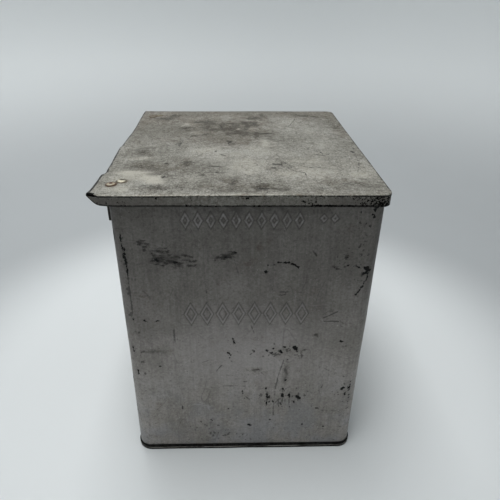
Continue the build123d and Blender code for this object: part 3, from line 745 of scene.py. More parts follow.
def cover_grid():
    """Rows (x, y, down, normal x, normal y, out) of the cover's points, some of them doubled, and its faces.

    A flat grid fills the inset rectangle, and the border's rings run on from its front, right and back edges.
    """
    inset_x, inset_y = cover_high[0] - LID_CORNER, cover_high[1] - LID_CORNER
    xs = graded((cover_low[0], inset_x, LID_GRID))
    ys = graded((-inset_y, inset_y, LID_GRID))
    points = [(x, y, 0.0, 0.0, 0.0, 0.0) for y in ys for x in xs]
    arc = [math.pi / 2 * step / ARC_STEPS for step in range(ARC_STEPS + 1)]
    border = [(x, -inset_y, 0.0, -1.0) for x in xs[:-1]]
    border += [(inset_x, -inset_y, math.sin(a), -math.cos(a)) for a in arc]
    border += [(inset_x, y, 1.0, 0.0) for y in ys[1:-1]]
    border += [(inset_x, inset_y, math.cos(a), math.sin(a)) for a in arc]
    border += [(x, inset_y, 0.0, 1.0) for x in xs[-2::-1]]
    rings = lid_rings()
    faces = grid_faces(len(xs), len(ys), closed=False)
    faces += grid_faces(len(border), len(rings), len(points), closed=False, flip=True)
    for out, down in rings:
        points += [(x + nx * out, y + ny * out, down, nx, ny, out) for x, y, nx, ny in border]
    return np.array(points), faces


def merged(data, faces):
    """The points with their doubles joined, and the faces without the edges that this closes up."""
    keys = np.round(data[:, :3] / CLOSE_MM).astype(np.int64)
    _, first, index = np.unique(keys, axis=0, return_index=True, return_inverse=True)
    index = index.ravel()
    kept = []
    for face in faces:
        loop = [int(index[corner]) for corner in face]
        loop = [corner for place, corner in enumerate(loop) if corner != loop[place - 1]]
        if len(loop) > 2:
            kept.append(tuple(loop))
    return data[first], kept


def add_cover(material):
    """The lid's sheet, bent down on three sides and cut off raw along the hinges."""
    data, faces = merged(*cover_grid())
    place, down, out = data[:, :2], data[:, 2], data[:, 5]
    across = place[:, 0] - body_middle
    behind = place[:, 1] - front_wall
    wall = np.column_stack([across, behind - down])
    on_top = (down < 1.0).astype(float)
    right_rim = smooth_step(6, 0, cover_high[0] - place[:, 0])
    fields = {
        "stain": on_top * patch_field(warped(wall, 41, 12, 4.0), LID_STAINS),
        "dark": on_top * patch_field(warped(wall, 43, 5, 1.6), LID_DARK),
        "pale": on_top * patch_field(warped(wall, 45, 7, 2.0), LID_PALE),
        "crackle": on_top * np.clip(patch_field(warped(wall, 47, 9, 4.0), LID_CRACKLE), 0, 1),
        "chip": on_top * stroke_field(warped(wall, 51), LID_CHIPS, 1.3, spread=0.4),
        "edge_line_and_shade": edge_darkness(across, behind, down, out),
        "knock_and_shade": knock_and_shade_field(across, behind, down),
        # painted shade: the skirt darker than the top, more so towards its ends
        "skirt": smooth_step(1, 3, down) * (0.82 + 0.44 * smooth_step(40, 110, np.abs(across))),
        "rim": np.maximum(right_rim, smooth_step(6, 0, cover_high[1] - np.abs(place[:, 1]))),
        "halo": on_top * rivet_halo(place),
    }
    shape = cover_shape(place, across, behind, down, data[:, 3:5])
    piece = mesh_piece("lid_skin", shape, faces, "lid", material, ["lid_cover"], fields)
    thick = piece.modifiers.new("sheet", "SOLIDIFY")
    thick.thickness = SHEET * MM
    thick.offset = -1


def edge_darkness(across, behind, down, out):
    """The dark line under the bend at the cover's edge, and painted shade along the skirt's lower edge."""
    bend = bump(down - LID_BEND, 0.75) * (out > LID_CORNER - LID_BEND)
    bend *= 0.64 + 0.28 * smooth_step(-40, -90, across) + 0.22 * smooth_step(70, 110, across)
    # painted shade along the skirt's lower edge, where it stands off the wall
    lower = smooth_step(8.3, 10.0, down) * (0.74 + 0.3 * smooth_step(20, 90, across))
    front = np.maximum(bend, lower) * (1 - 0.25 * smooth_step(4, 20, behind))
    brink = 0.62 * bump(out - LID_CORNER + LID_BEND, 0.8) * smooth_step(2, 6, behind) * (out > 0)
    raw_edge = cover_low[0] - body_middle
    raw = (0.6 + 0.4 * (behind < 50)) * smooth_step(3, 1, across - raw_edge)
    return np.maximum.reduce([front, brink, raw])


def knock_and_shade_field(across, behind, down):
    """Where the paint is knocked off, chips along the skirt and its front right end, and painted shade: near
    black on the bent-up tip, lighter on the skirt's left end.
    """
    front = smooth_step(30, 0, behind) * smooth_step(0.6, 2.0, down)
    corner = front * (0.38 * smooth_step(90, 104, across) + 0.2 * smooth_step(104, 116, across))
    patch = 0.49 * front * bump(across - 57, 5) * smooth_step(3, 5, down)
    creases = smooth_step(8.4, 9.6, down) + smooth_step(3.2, 2.2, down)
    edges = 0.5 * front * smooth_step(40, 70, across) * creases
    # painted shadow on the bent-up tip
    reach = 1.9 * smooth_step(-128, -141, across) - 0.35
    tip = 1.2 * smooth_step(reach + 0.4, reach - 0.4, np.abs(down - 0.9)) * (across < -118) * (behind < 0.6)
    flat = np.column_stack([across, down])
    chips = (behind < 0) * stroke_field(warped(flat, 55, 3, 0.6), SKIRT_CHIPS, 1.0)
    # painted shade on the skirt's left end
    left = 0.12 * smooth_step(-90, -130, across) * smooth_step(1, 2, down) * (behind < 6)
    return np.maximum.reduce([corner, patch, edges, tip, chips, left])


def cover_shape(place, across, behind, down, normals):
    """The cover's points with its waves, dents, worn raw edge, tapered skirt and bent tip."""
    top = cover_high[2]
    shape = at_level(place, top - down)
    flat = np.column_stack([across, behind])
    calm = np.clip(1 - patch_field(flat, LID_CALM), 0, 1) * smooth_step(3, 0, down)
    lift = waves(at_level(place), LID_WAVES) - patch_field(flat, LID_DENTS)
    shape[:, 2] += np.clip(lift, -MOST_RELIEF, MOST_RELIEF) * calm + LID_TWIST * smooth_step(-112, 40, across)
    shape[:, 2] = np.minimum(shape[:, 2], top + LID_RISE)
    ripple = np.clip(0.35 + 0.3 * soft_noise(at_level(place, down * 3), 24, 65), 0, 0.8)
    shape[:, :2] -= normals * (ripple * smooth_step(0.5, 4, down))[:, None]
    along = place[:, 0] - cover_low[0]
    shape[:, 0] += np.interp(behind, *np.transpose(RAW_EDGE)) * smooth_step(24, 0, along)
    # the skirt is cut back and tapers up towards the hinge side
    share = (np.interp(along, *np.transpose(SKIRT_END)) - LID_BEND) / (LID_SKIRT - LID_BEND)
    shape[:, 2] = np.where(down > LID_BEND, top - LID_BEND - (down - LID_BEND) * share, shape[:, 2])
    # the front tip of the hinge side is bent up
    shape[:, 2] += TIP_LIFT * smooth_step(11, 0, along) * smooth_step(9, -3, behind)
    return shape


# ---------------- rivets on the lid

RIVET_DOME = [  # radius and height over the lid
    (0.01, 1.3), (0.7, 1.3), (1.4, 1.26), (2.1, 1.2), (2.7, 1.12), (3.2, 1.0), (3.6, 0.85), (4.0, 0.6),
    (4.4, 0.45), (4.9, 0.35), (5.15, 0.15), (5.2, -0.2),
]
RIVET_EYELET = [
    (0.01, 0.45), (0.8, 0.45), (1.6, 0.45), (2.3, 0.46), (3.0, 0.5), (3.6, 0.75), (4.1, 0.95), (4.6, 0.85),
    (4.9, 0.5), (5.05, 0.15), (5.1, -0.2),
]
RIVET_STEPS = 40
RIVET_SHANK = 1.6
RIVET_HEAD = 5.3
RIVET_KINDS = [  # profile, share of brass, unevenness seed, and the dark spot's across, back and half width: a rust stain on the steel eyelet, painted shade over the back of the brass dome
    (RIVET_EYELET, 0, 0.4, (-0.6, 2.4), 1.7),
    (RIVET_DOME, 1, 1.7, (0.9, 3.2), 3.7),
]


def rivet_places(end):
    """(x, y) of the two rivets through the lid at one hinge, nearest the pin first."""
    low, high = in_mm(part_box(f"{end}_hinge_lid_rivets"))
    return low[:2] + RIVET_HEAD, high[:2] - RIVET_HEAD


def rivet_halo(place):
    """One on the ring of dirt round each rivet's head."""
    spots = [*rivet_places("front"), *rivet_places("rear")]
    return np.maximum.reduce([bump(np.linalg.norm(place - spot, axis=1) - RIVET_HEAD, 0.9) for spot in spots])


def add_lid_rivets(end, material):
    """A rusted tubular rivet and a brassy domed one through the lid, clinched under the hinge's leaf."""
    node = f"{end}_hinge_lid_rivets"
    top = cover_high[2]
    foot = in_mm(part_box(node))[0][2] - top
    shank = [(RIVET_SHANK, -0.2), (RIVET_SHANK, foot + 0.3), (RIVET_SHANK - 0.4, foot)]
    points, faces = [], []
    fields = {"brass": [], "outline": [], "shade": []}
    for (x, y), (profile, is_brass, seed, dirt, dirt_reach) in zip(rivet_places(end), RIVET_KINDS):
        rings = [(radius, top + level) for radius, level in profile + shank]
        start = len(points)
        head = rings_round(rings, RIVET_STEPS, x, y, seed)
        points += head
        faces += grid_faces(RIVET_STEPS, len(rings), start, flip=True)
        faces.append(tuple(range(start, start + RIVET_STEPS)))
        faces.append(tuple(range(len(points) - RIVET_STEPS, len(points)))[::-1])
        place = np.array(head)[:, :2] - (x, y)
        away = np.linalg.norm(place - dirt, axis=1)
        fields["brass"] += [is_brass] * len(head)
        fields["outline"] += list(smooth_step(3.4, 4.1, np.linalg.norm(place, axis=1)))
        # a rust stain on the steel eyelet, and painted shade over the back of the brass dome
        fields["shade"] += list(smooth_step(dirt_reach + 0.5, dirt_reach - 0.5, away))
    fields["dull"] = [float(end == "rear")] * len(points)
    mesh_piece(f"{end}_lid_rivet_heads", points, faces, "lid", material, [node], fields)


# ---------------- materials

DULL_SPECULAR = 0.22
LINE_REACH = 0.0055  # how far a noise is from one half at the edge of a hairline
LINE_CORE = 0.002


def tone(*shade):
    """Linear colour of an sRGB tone written from 0 to 255."""
    shares = [value / 255 for value in shade]
    return (*(s / 12.92 if s <= 0.04045 else ((s + 0.055) / 1.055) ** 2.4 for s in shares), 1.0)


class Shader:
    """Short calls that build the node tree of one material, its colour laid on coat by coat.

    Noise sizes are in metres, and a colour is a socket or an sRGB tone written from 0 to 255.
    """

    def __init__(self, name):
        self.material = bpy.data.materials.new(name)
        self.material.use_nodes = True
        self.tree = self.material.node_tree
        self.surface = self.tree.nodes["Principled BSDF"]
        self.surface.inputs["Specular IOR Level"].default_value = DULL_SPECULAR
        self.place = self.add("TexCoord").outputs["Object"]
        self.colour = None

    def feed(self, socket, value):
        if isinstance(value, bpy.types.NodeSocket):
            self.tree.links.new(value, socket)
        else:
            socket.default_value = value

    def add(self, kind, **inputs):
        """A new node of that kind, with the named inputs fed."""
        node = self.tree.nodes.new("ShaderNode" + kind)
        for name, value in inputs.items():
            self.feed(node.inputs[name], value)
        return node

    def field(self, name):
        """A field stored on the points of the mesh."""
        node = self.add("Attribute")
        node.attribute_name = name
        return node.outputs["Fac"]

    def stretched(self, *scale):
        """Object coordinates scaled by a different amount along each axis."""
        return self.add("Mapping", Vector=self.place, Scale=scale).outputs["Vector"]

    def noise(self, size, detail, roughness, distortion=0.0, stretch=None):
        """Noise from 0 to 1 with features of about that size."""
        node = self.add("TexNoise", Scale=1 / size, Detail=detail, Roughness=roughness, Distortion=distortion)
        self.feed(node.inputs["Vector"], self.stretched(*stretch) if stretch else self.place)
        return node.outputs["Fac"]

    def cells(self, size, output, feature="F1"):
        """An output of a pattern of cells of about that size."""
        node = self.add("TexVoronoi", Vector=self.place, Scale=1 / size)
        node.feature = feature
        return node.outputs[output]

    def maths(self, operation, first, *others):
        """Maths with each of the other values in turn, or with the first one alone."""
        for other in others or (0.0,):
            node = self.add("Math")
            node.operation = operation
            self.feed(node.inputs[0], first)
            self.feed(node.inputs[1], other)
            first = node.outputs[0]
        return first

    def times(self, first, *others):
        return self.maths("MULTIPLY", first, *others) if others else first

    def plus(self, *values):
        return self.maths("ADD", *values)

    def most(self, *values):
        """The greatest of the values."""
        return self.maths("MAXIMUM", *values)

    def weighed(self, *parts):
        """Sum of values, each times its weight."""
        return self.plus(*(self.times(value, weight) for value, weight in parts))

    def span(self, value, low, high, start=0.0, end=1.0):
        """value mapped smoothly from low..high onto start..end."""
        node = self.add("MapRange", Value=value)
        node.interpolation_type = "SMOOTHSTEP"
        for name, number in zip(("From Min", "From Max", "To Min", "To Max"), (low, high, start, end)):
            node.inputs[name].default_value = number
        return node.outputs["Result"]

    def height(self, low, high, start=0.0, end=1.0):
        """Height over the ground mapped smoothly from low..high in mm onto start..end."""
        up = self.add("SeparateXYZ", Vector=self.place).outputs["Z"]
        return self.span(up, low * MM, high * MM, start, end)

    def near_half(self, value, reach, core):
        """One along the lines where a value is about one half."""
        return self.span(self.maths("ABSOLUTE", self.plus(value, -0.5)), reach, core)

    def ragged(self, field_name, noise, reach, soft=0.08):
        """A field cut off sharply at one half, with its edge broken up by noise."""
        pushed = self.plus(self.field(field_name), self.span(noise, 0.25, 0.75, -reach / 2, reach / 2))
        return self.span(pushed, 0.5 - soft, 0.5 + soft)

    def mix(self, share, first, second):
        """The first colour turning into the second with the share."""
        node = self.add("Mix")
        node.data_type = "RGBA"
        self.feed(node.inputs["Factor"], share)
        for name, colour in (("A", first), ("B", second)):
            socket = isinstance(colour, bpy.types.NodeSocket)
            self.feed(node.inputs[name], colour if socket else tone(*colour))
        return node.outputs["Result"]

    def between(self, value, low, high, first, second):
        """A colour that turns from the first into the second as value runs from low to high."""
        return self.mix(self.span(value, low, high), first, second)

    def coat(self, colour, *shares):
        """Lay a colour over what is there, as strongly as the product of the shares."""
        self.colour = self.mix(self.times(*shares), self.colour, colour)

    def washes(self, *coats):
        """Lay on (value, low, high, strength, colour) coats, each coming in as its value nears high."""
        for value, low, high, strength, shade in coats:
            self.coat(shade, self.span(value, low, high, 0, strength))

    def hairlines(self, size, stretch, strength, shade):
        """Thin meandering scratches: the level lines of a smooth noise, broken up by a rougher one."""
        meander = self.near_half(self.noise(size, 1.5, 0.4, 0.6, stretch), LINE_REACH, LINE_CORE)
        self.coat(shade, meander, self.span(self.noise(size * 0.6, 3, 0.6), 0.5, 0.58), strength)

    def tint(self, shares):
        """Scale each channel of the colour by its share, or all of them by one value."""
        node = self.add("VectorMath")
        node.operation = "MULTIPLY"
        self.feed(node.inputs[0], self.colour)
        self.feed(node.inputs[1], shares)
        self.colour = node.outputs["Vector"]

    def bumped(self, relief, depth, strength):
        """Bumps of a depth in mm from a relief."""
        node = self.add("Bump", Height=relief, Distance=depth * MM, Strength=strength)
        self.feed(self.surface.inputs["Normal"], node.outputs["Normal"])

    def finish(self, roughness, metallic):
        self.feed(self.surface.inputs["Base Color"], self.colour)
        self.feed(self.surface.inputs["Roughness"], roughness)
        self.feed(self.surface.inputs["Metallic"], metallic)
        return self.material


def shell_paint():
    s = Shader("weathered_shell_with_painted_shade")
    cloud = s.noise(0.05, 5, 0.6)
    grain = s.noise(0.0022, 3, 0.7)
    fine = s.noise(0.006, 4, 0.65)
    drag = s.noise(0.02, 4, 0.7, stretch=(1, 1, 0.16))
    brushed = s.noise(0.0022, 3, 0.6, stretch=(1, 1, 0.05))
    s.colour = s.between(cloud, 0.35, 0.68, (134, 134, 127), (152, 152, 146))
    s.washes(
        (drag, 0.45, 0.75, 0.45, (114, 112, 108)),
        (brushed, 0.48, 0.7, 0.3, (108, 107, 104)),
        (brushed, 0.45, 0.3, 0.18, (170, 170, 168)),
        (fine, 0.52, 0.74, 0.4, (106, 104, 99)),
        (grain, 0.42, 0.75, 0.5, (98, 97, 94)),
        (grain, 0.45, 0.25, 0.4, (172, 173, 172)),
    )
    s.hairlines(0.052, (1, 1, 0.55), 0.4, (84, 83, 80))
    s.hairlines(0.067, (0.5, 1, 1.2), 0.3, (178, 178, 176))

    # smudges, darker or paler, and bands of painted shade at the foot and under the lid
    smudge_and_shade = s.field("smudge_and_shade")
    broken = s.span(s.noise(0.011, 5, 0.7), 0.3, 0.75, 0.35, 1.35)
    dark = s.span(s.times(smudge_and_shade, broken), 0, 0.8, 0, 0.8)
    s.coat((58, 57, 53), dark)
    s.washes((smudge_and_shade, 0, -0.25, 0.6, (172, 172, 170)))
    s.coat((128, 134, 138), s.height(150, 10), s.span(s.noise(0.04, 3, 0.6), 0.4, 0.62, 0, 0.45))

    # specks and pits, closer together near the foot and the mouth
    crowd = s.most(s.height(70, 8), s.height(285, 322, 0, 0.5), s.height(190, 120, 0, 0.55))
    spots = s.plus(s.noise(0.0045, 5, 0.75), s.times(crowd, 0.06))
    speck = s.span(spots, 0.66, 0.71, 0, 0.65)
    s.coat((62, 62, 60), speck)
    pits = s.plus(s.noise(0.0024, 2, 0.5), s.times(crowd, 0.03))
    s.washes(
        (pits, 0.74, 0.765, 0.75, (34, 33, 31)),
        (s.noise(0.0032, 3, 0.6), 0.72, 0.75, 0.6, (192, 193, 192)),
    )
    s.coat((98, 82, 66), s.span(s.noise(0.03, 5, 0.7), 0.56, 0.72), s.span(fine, 0.4, 0.6), 0.35)

    s.coat((40, 38, 35), s.field("lock_edge"), 0.75)
    # dirt and painted shade round the lozenges; rubbed paint and painted highlight along their raised strokes
    s.coat((64, 63, 57), s.field("press_rim"), 0.72)
    rubbed = s.span(s.noise(0.005, 4, 0.7), 0.35, 0.65, 0.1, 0.85)
    s.coat((186, 187, 185), s.field("worn_press_and_highlight"), rubbed)
    s.coat((186, 187, 185), s.field("name_press"), 0.3)

    s.coat((52, 52, 50), s.ragged("scratch", s.noise(0.009, 3, 0.6), 0.4, 0.12), 0.62)
    torn = s.noise(0.0034, 6, 0.8, stretch=(0.6, 1, 1.5))
    s.coat((50, 49, 47), s.ragged("mark", torn, 1.2, 0.26), 0.78)
    chip = s.ragged("chip", s.noise(0.0026, 4, 0.7), 0.55)
    s.coat((13, 13, 12), chip)
    # painted shade: near black at the wall's foot, in the crevice above the rolled seam
    s.coat((20, 20, 18), s.height(8.2, 7.0, 0, 0.85))
    # painted shade: the wall darkens towards the top, under the lid
    s.tint(s.height(70, 310, 1.04, 0.565))
    s.tint((1.035, 0.968, 0.985))

    relief = s.weighed((grain, 0.35), (fine, 0.65), (chip, -0.6), (speck, -0.3))
    rough = s.plus(s.span(fine, 0.3, 0.7, 0.4, 0.58), s.times(chip, 0.25))
    s.bumped(relief, 0.35, 0.7)
    return s.finish(rough, s.span(s.most(chip, dark), 0, 1, 0.6, 0))


def lid_paint():
    s = Shader("weathered_lid")
    cloud = s.noise(0.07, 5, 0.6)
    grain = s.noise(0.0015, 3, 0.7)
    fine = s.noise(0.007, 5, 0.75)
    blots = s.noise(0.02, 7, 0.75)
    streak = s.noise(0.012, 6, 0.75, stretch=(0.5, 1, 1))
    brushed = s.noise(0.0024, 3, 0.6, stretch=(1, 0.06, 1))
    woven = s.noise(0.0026, 3, 0.6, stretch=(0.07, 1, 1))
    s.colour = s.between(cloud, 0.35, 0.68, (147, 147, 139), (170, 170, 163))
    s.washes(
        (streak, 0.5, 0.68, 0.12, (116, 114, 104)),
        (blots, 0.5, 0.66, 0.12, (122, 120, 110)),
        (blots, 0.46, 0.3, 0.22, (178, 178, 173)),
        (fine, 0.48, 0.35, 0.14, (182, 182, 178)),
        (fine, 0.54, 0.7, 0.12, (100, 98, 88)),
        (grain, 0.47, 0.64, 0.65, (98, 95, 86)),
        (grain, 0.45, 0.3, 0.5, (194, 194, 190)),
        (brushed, 0.5, 0.68, 0.28, (112, 111, 104)),
        (brushed, 0.46, 0.3, 0.22, (184, 184, 179)),
        (woven, 0.5, 0.68, 0.2, (112, 111, 104)),
        (woven, 0.46, 0.3, 0.16, (184, 184, 179)),
    )
    net = s.cells(0.009, "Distance", "DISTANCE_TO_EDGE")
    s.coat((96, 94, 86), s.span(net, 0.1, 0.02), s.span(s.noise(0.03, 3, 0.6), 0.46, 0.58, 0, 0.6))

    # finely crackled paint
    crackle = s.field("crackle")
    crust = s.noise(0.003, 5, 0.8)
    s.coat((90, 87, 77), s.span(crust, 0.52, 0.57, 0, 0.62), crackle)
    s.coat((194, 194, 188), s.span(crust, 0.44, 0.39, 0, 0.45), crackle)
    cracks = s.near_half(s.noise(0.0075, 3, 0.65, 0.4), 0.05, 0.018)
    s.coat((80, 78, 70), cracks, 0.95, s.span(fine, 0.44, 0.54), crackle)

    # bare zinc, with a painted highlight on the front bend and partly on the raised blisters, and the stains
    # with their dark middles
    pale = s.field("pale")
    bare_zinc_and_highlight = s.plus(pale, s.span(blots, 0.3, 0.7, -0.3, 0.2))
    s.washes((bare_zinc_and_highlight, 0, 0.9, 0.62, (190, 188, 177)))
    broken = s.span(s.noise(0.014, 7, 0.8), 0.3, 0.7, -0.34, 0.26)
    weather = s.plus(s.field("stain"), broken, s.times(pale, -0.5))
    thin = s.times(s.span(grain, 0.62, 0.38, 1, 0.6), s.span(fine, 0.6, 0.4, 1, 0.75))
    warm = s.between(cloud, 0.4, 0.6, (96, 94, 86), (92, 85, 74))
    s.coat(warm, s.span(weather, -0.1, 0.7, 0, 0.9), thin)
    torn = s.span(s.noise(0.004, 6, 0.9), 0.3, 0.7, -0.5, 0.55)
    core = s.plus(s.field("dark"), torn, s.times(pale, -0.6))
    thin = s.times(s.span(grain, 0.6, 0.4, 1, 0.76), s.span(fine, 0.58, 0.42, 1, 0.8))
    deep = s.between(cloud, 0.42, 0.58, (54, 49, 41), (51, 50, 45))
    s.coat(deep, s.span(core, -0.08, 0.56, 0, 0.96), thin)
    s.coat((146, 144, 134), s.span(weather, 0.1, 0.5), s.span(grain, 0.45, 0.3), 0.5)

    s.hairlines(0.04, (0.8, 1, 1), 0.55, (76, 72, 65))
    s.hairlines(0.025, (1, 0.6, 1), 0.45, (84, 80, 72))
    s.hairlines(0.014, (0.7, 1.2, 1), 0.45, (84, 82, 74))
    s.washes(
        (s.noise(0.0034, 4, 0.75), 0.64, 0.67, 0.7, (72, 67, 60)),
        (s.noise(0.0032, 3, 0.6), 0.71, 0.75, 0.6, (202, 203, 200)),
    )
    chip = s.ragged("chip", s.noise(0.0026, 4, 0.7), 0.4)
    s.coat((44, 42, 38), chip, 0.92)
    s.tint((1.012, 0.99, 0.974))

    # the skirt in painted shade, the rivets' dirt, and the worn edges, with painted shade along the skirt's
    # lower edge and on the bent tip
    skirt = s.field("skirt")
    # painted shade: the skirt darker than the top
    s.coat((91, 87, 83), skirt, 0.68)
    s.coat((80, 66, 50), s.field("halo"), s.span(fine, 0.3, 0.6, 0.5, 0.9))
    rust = s.times(s.field("rim"), s.span(s.noise(0.014, 6, 0.75), 0.54, 0.66))
    s.coat((94, 78, 62), rust, s.span(skirt, 0, 1, 1, 0.25), 0.45)
    # the dark line under the bend, and painted shade along the skirt's lower edge
    s.coat((34, 33, 30), s.ragged("edge_line_and_shade", s.noise(0.005, 5, 0.75), 0.5), 0.9)
    # paint knocked off, and painted shade on the bent tip and the skirt's left end; near black and fully
    # metallic so that nothing reflects in it
    knock_and_shade = s.ragged("knock_and_shade", s.noise(0.0024, 5, 0.75), 1.3, 0.1)
    s.coat((10, 10, 9), knock_and_shade, 0.98)

    relief = s.weighed((grain, 0.5), (fine, 0.3), (chip, -0.6), (knock_and_shade, -0.6))
    rough = s.plus(s.span(fine, 0.3, 0.7, 0.46, 0.55), s.span(weather, 0.3, 0.9, 0, 0.2), s.times(knock_and_shade, 0.3))
    s.bumped(relief, 0.35, 0.6)
    return s.finish(rough, s.most(s.span(weather, 0.1, 0.9, 0.35, 0.05), knock_and_shade))


def seam_paint():
    s = Shader("weathered_seam_with_painted_light")
    fine = s.noise(0.006, 5, 0.7)
    grain = s.noise(0.002, 3, 0.7)
    cloud = s.noise(0.03, 4, 0.6)
    s.colour = s.between(cloud, 0.35, 0.65, (122, 122, 118), (140, 140, 137))
    s.washes(
        (fine, 0.45, 0.66, 0.6, (60, 58, 54)),
        (s.noise(0.004, 4, 0.7), 0.62, 0.67, 0.9, (30, 29, 27)),
        (s.noise(0.012, 5, 0.7), 0.6, 0.7, 0.45, (92, 76, 60)),
        (grain, 0.5, 0.75, 0.3, (160, 161, 160)),
    )
    # a painted highlight along the bead, and painted shade above and below it, near black and fully metallic
    # so that nothing reflects in it
    bead_highlight, crevice_shade = s.field("bead_highlight"), s.field("crevice_shade")
    s.coat((58, 56, 50), bead_highlight, 0.8)
    s.coat((186, 182, 172), bead_highlight, s.span(cloud, 0.42, 0.64, 0, 0.7))
    s.coat((10, 10, 9), crevice_shade, s.span(fine, 0.3, 0.6, 0.9, 0.98))
    rough = s.span(fine, 0.3, 0.7, 0.42, 0.65)
    s.bumped(s.plus(fine, grain), 0.2, 0.5)
    return s.finish(rough, s.span(crevice_shade, 0, 1, 0.4, 1))


def hinge_metal():
    s = Shader("rusted_hinge_steel_with_painted_shade")
    fine = s.noise(0.003, 5, 0.7)
    blots = s.noise(0.009, 6, 0.7)
    # painted shade: the steel darkened towards black, as the leaves hang in shade under the lid
    s.colour = s.between(fine, 0.35, 0.65, (48, 46, 43), (72, 69, 65))
    rust = s.span(blots, 0.48, 0.6)
    s.coat((78, 56, 42), rust, 0.85)
    s.washes((s.noise(0.005, 5, 0.75), 0.6, 0.68, 0.8, (48, 38, 32)))
    rough = s.span(blots, 0.35, 0.65, 0.42, 0.8)
    s.bumped(s.plus(fine, blots), 0.3, 0.8)
    return s.finish(rough, s.span(rust, 0, 1, 0.75, 0.1))


def rivet_metal():
    """Rusted steel and dull brass, each with dirt round its rim; the steel has a rust spot, and the brass
    painted shade over the back of its dome.
    """
    s = Shader("rivet_metal")
    fine = s.noise(0.0018, 4, 0.7)
    blots = s.noise(0.004, 5, 0.7)
    outline, shade = s.field("outline"), s.field("shade")
    s.colour = s.between(blots, 0.45, 0.68, (174, 166, 146), (148, 122, 98))
    s.coat((70, 46, 33), outline, 0.92)
    s.coat((72, 42, 30), shade, 0.95)
    steel = s.colour
    s.colour = s.between(fine, 0.4, 0.65, (200, 196, 178), (180, 172, 148))
    s.coat((66, 54, 40), outline, 0.9)
    # painted shade over the back of the brass dome
    s.coat((46, 40, 32), shade, 0.92)
    s.colour = s.mix(s.field("brass"), steel, s.colour)
    s.coat((96, 90, 76), s.field("dull"), s.span(fine, 0.35, 0.6, 0.6, 0.9))
    rough = s.span(blots, 0.3, 0.7, 0.4, 0.65)
    s.bumped(s.plus(fine, blots), 0.2, 0.6)
    return s.finish(rough, s.span(s.most(outline, shade), 0, 1, 0.4, 0))


def zinc_liner():
    """Galvanised sheet with its frosty crystals."""
    s = Shader("galvanised_liner")
    facet = s.add("SeparateColor", Color=s.cells(0.009, "Color")).outputs["Red"]
    fine = s.noise(0.004, 4, 0.7)
    cloud = s.noise(0.06, 5, 0.6)
    s.colour = s.mix(facet, (148, 151, 153), (168, 171, 172))
    s.washes(
        (cloud, 0.5, 0.72, 0.55, (120, 118, 112)),
        (fine, 0.55, 0.72, 0.4, (104, 103, 100)),
        (s.noise(0.01, 6, 0.75), 0.64, 0.72, 0.7, (108, 86, 66)),
    )
    rough = s.plus(s.span(facet, 0, 1, 0.3, 0.48), s.span(cloud, 0.4, 0.8, 0, 0.15))
    s.bumped(s.plus(s.times(facet, 0.3), fine), 0.2, 0.5)
    return s.finish(rough, 0.7)


def fibre_board():
    s = Shader("fibre_board")
    fibre = s.noise(0.003, 5, 0.75, stretch=(1, 1, 0.3))
    s.colour = s.between(fibre, 0.3, 0.7, (126, 102, 74), (160, 134, 100))
    s.washes((s.noise(0.04, 4, 0.6), 0.5, 0.75, 0.5, (104, 82, 60)))
    s.bumped(fibre, 0.4, 0.8)
    return s.finish(0.9, 0.0)


def pale_floor():
    """White paper, with painted shade greying the floor away from the box."""
    s = Shader("studio_floor")
    s.colour = s.mix(s.noise(0.6, 2, 0.5), (217, 221, 222), (222, 226, 227))
    reach = s.add("VectorMath")
    reach.operation = "LENGTH"
    s.feed(reach.inputs[0], s.stretched(1, 1, 0))
    # painted shade: the floor greyer in a ring away from the box, fading out up the curve
    s.coat((173, 177, 179), s.span(reach.outputs["Value"], 0.32, 0.57), s.height(0, 300, 1, 0))
    return s.finish(0.85, 0.0)


# ---------------- floor and light, in metres

STAGE_FLAT = 0.74
STAGE_CURVE = 0.45
STAGE_HEIGHT = 1.5
STAGE_STEPS = 96
CURVE_STEPS = 12
WORLD_STRENGTH = 0.05
LAMPS = [  # name, place, target, width, depth, watts, spread in degrees
    ("overhead", (-0.2, 0.03, 1.9), (-0.05, 0.03, 0.0), 1.8, 0.7, 13.9, 120),
    ("backdrop_left", (-0.62, 0.6, 1.6), (-0.85, 1.0, 0.5), 0.5, 0.3, 1.6, 90),
    ("backdrop_right", (0.62, 0.6, 1.6), (0.85, 1.0, 0.5), 0.5, 0.3, 0.8, 90),
]


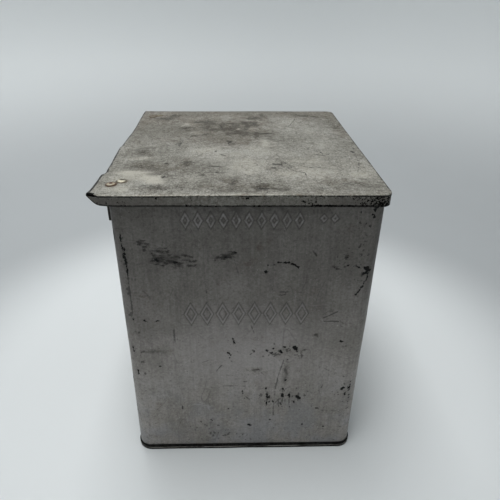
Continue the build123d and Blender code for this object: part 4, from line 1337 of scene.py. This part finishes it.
def add_floor(material):
    """A round floor that curves up into a wall all the way round, as a paper sweep does."""
    profile = [(0.001, 0.0), (STAGE_FLAT, 0.0)]
    for step in range(1, CURVE_STEPS + 1):
        angle = math.pi / 2 * step / CURVE_STEPS
        profile.append((STAGE_FLAT + STAGE_CURVE * math.sin(angle), STAGE_CURVE * (1 - math.cos(angle))))
    profile.append((STAGE_FLAT + STAGE_CURVE, STAGE_HEIGHT))
    faces = grid_faces(STAGE_STEPS, len(profile), flip=True)
    faces.append(tuple(range(STAGE_STEPS)))
    mesh = bpy.data.meshes.new("floor")
    mesh.from_pydata(rings_round(profile, STAGE_STEPS, body_middle * MM, 0), [], faces)
    floor = add_object("floor", mesh, material)
    floor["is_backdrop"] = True


def add_lamp(name, place, target, width, depth, watts, spread):
    data = bpy.data.lights.new(name, "AREA")
    data.shape = "RECTANGLE"
    data.spread = math.radians(spread)
    data.size, data.size_y = width, depth
    data.energy = watts
    lamp = bpy.data.objects.new(name, data)
    lamp.location = place
    aim = Vector(target) - Vector(place)
    lamp.rotation_euler = aim.to_track_quat("-Z", "Y").to_euler()
    bpy.context.scene.collection.objects.link(lamp)


def add_light():
    world = bpy.data.worlds.new("room")
    bpy.context.scene.world = world
    world.use_nodes = True
    background = world.node_tree.nodes["Background"]
    background.inputs["Color"].default_value = (1.0, 1.0, 1.0, 1.0)
    background.inputs["Strength"].default_value = WORLD_STRENGTH
    for lamp in LAMPS:
        add_lamp(*lamp)


# ---------------- the scene

add_camera()
add_light()
add_floor(pale_floor())

finishes = {
    "painted_shell": shell_paint(),
    "painted_lid": lid_paint(),
    "liner_steel": zinc_liner(),
    "insulating_board": fibre_board(),
    "hinge_steel": hinge_metal(),
    "rivet_steel": rivet_metal(),
}
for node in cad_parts.values():
    for place, material in enumerate(node.data.materials):
        node.data.materials[place] = finishes[material.name.split(".")[0]]

add_shell(finishes["painted_shell"])
add_foot_seam(seam_paint())
add_cover(finishes["painted_lid"])
for hinge_end in ("front", "rear"):
    add_lid_rivets(hinge_end, finishes["rivet_steel"])

bpy.context.scene.view_settings.view_transform = "Standard"
boxes = {"cad": cad_box, "scene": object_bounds()}
{name: [list(corner) for corner in box] for name, box in boxes.items()}
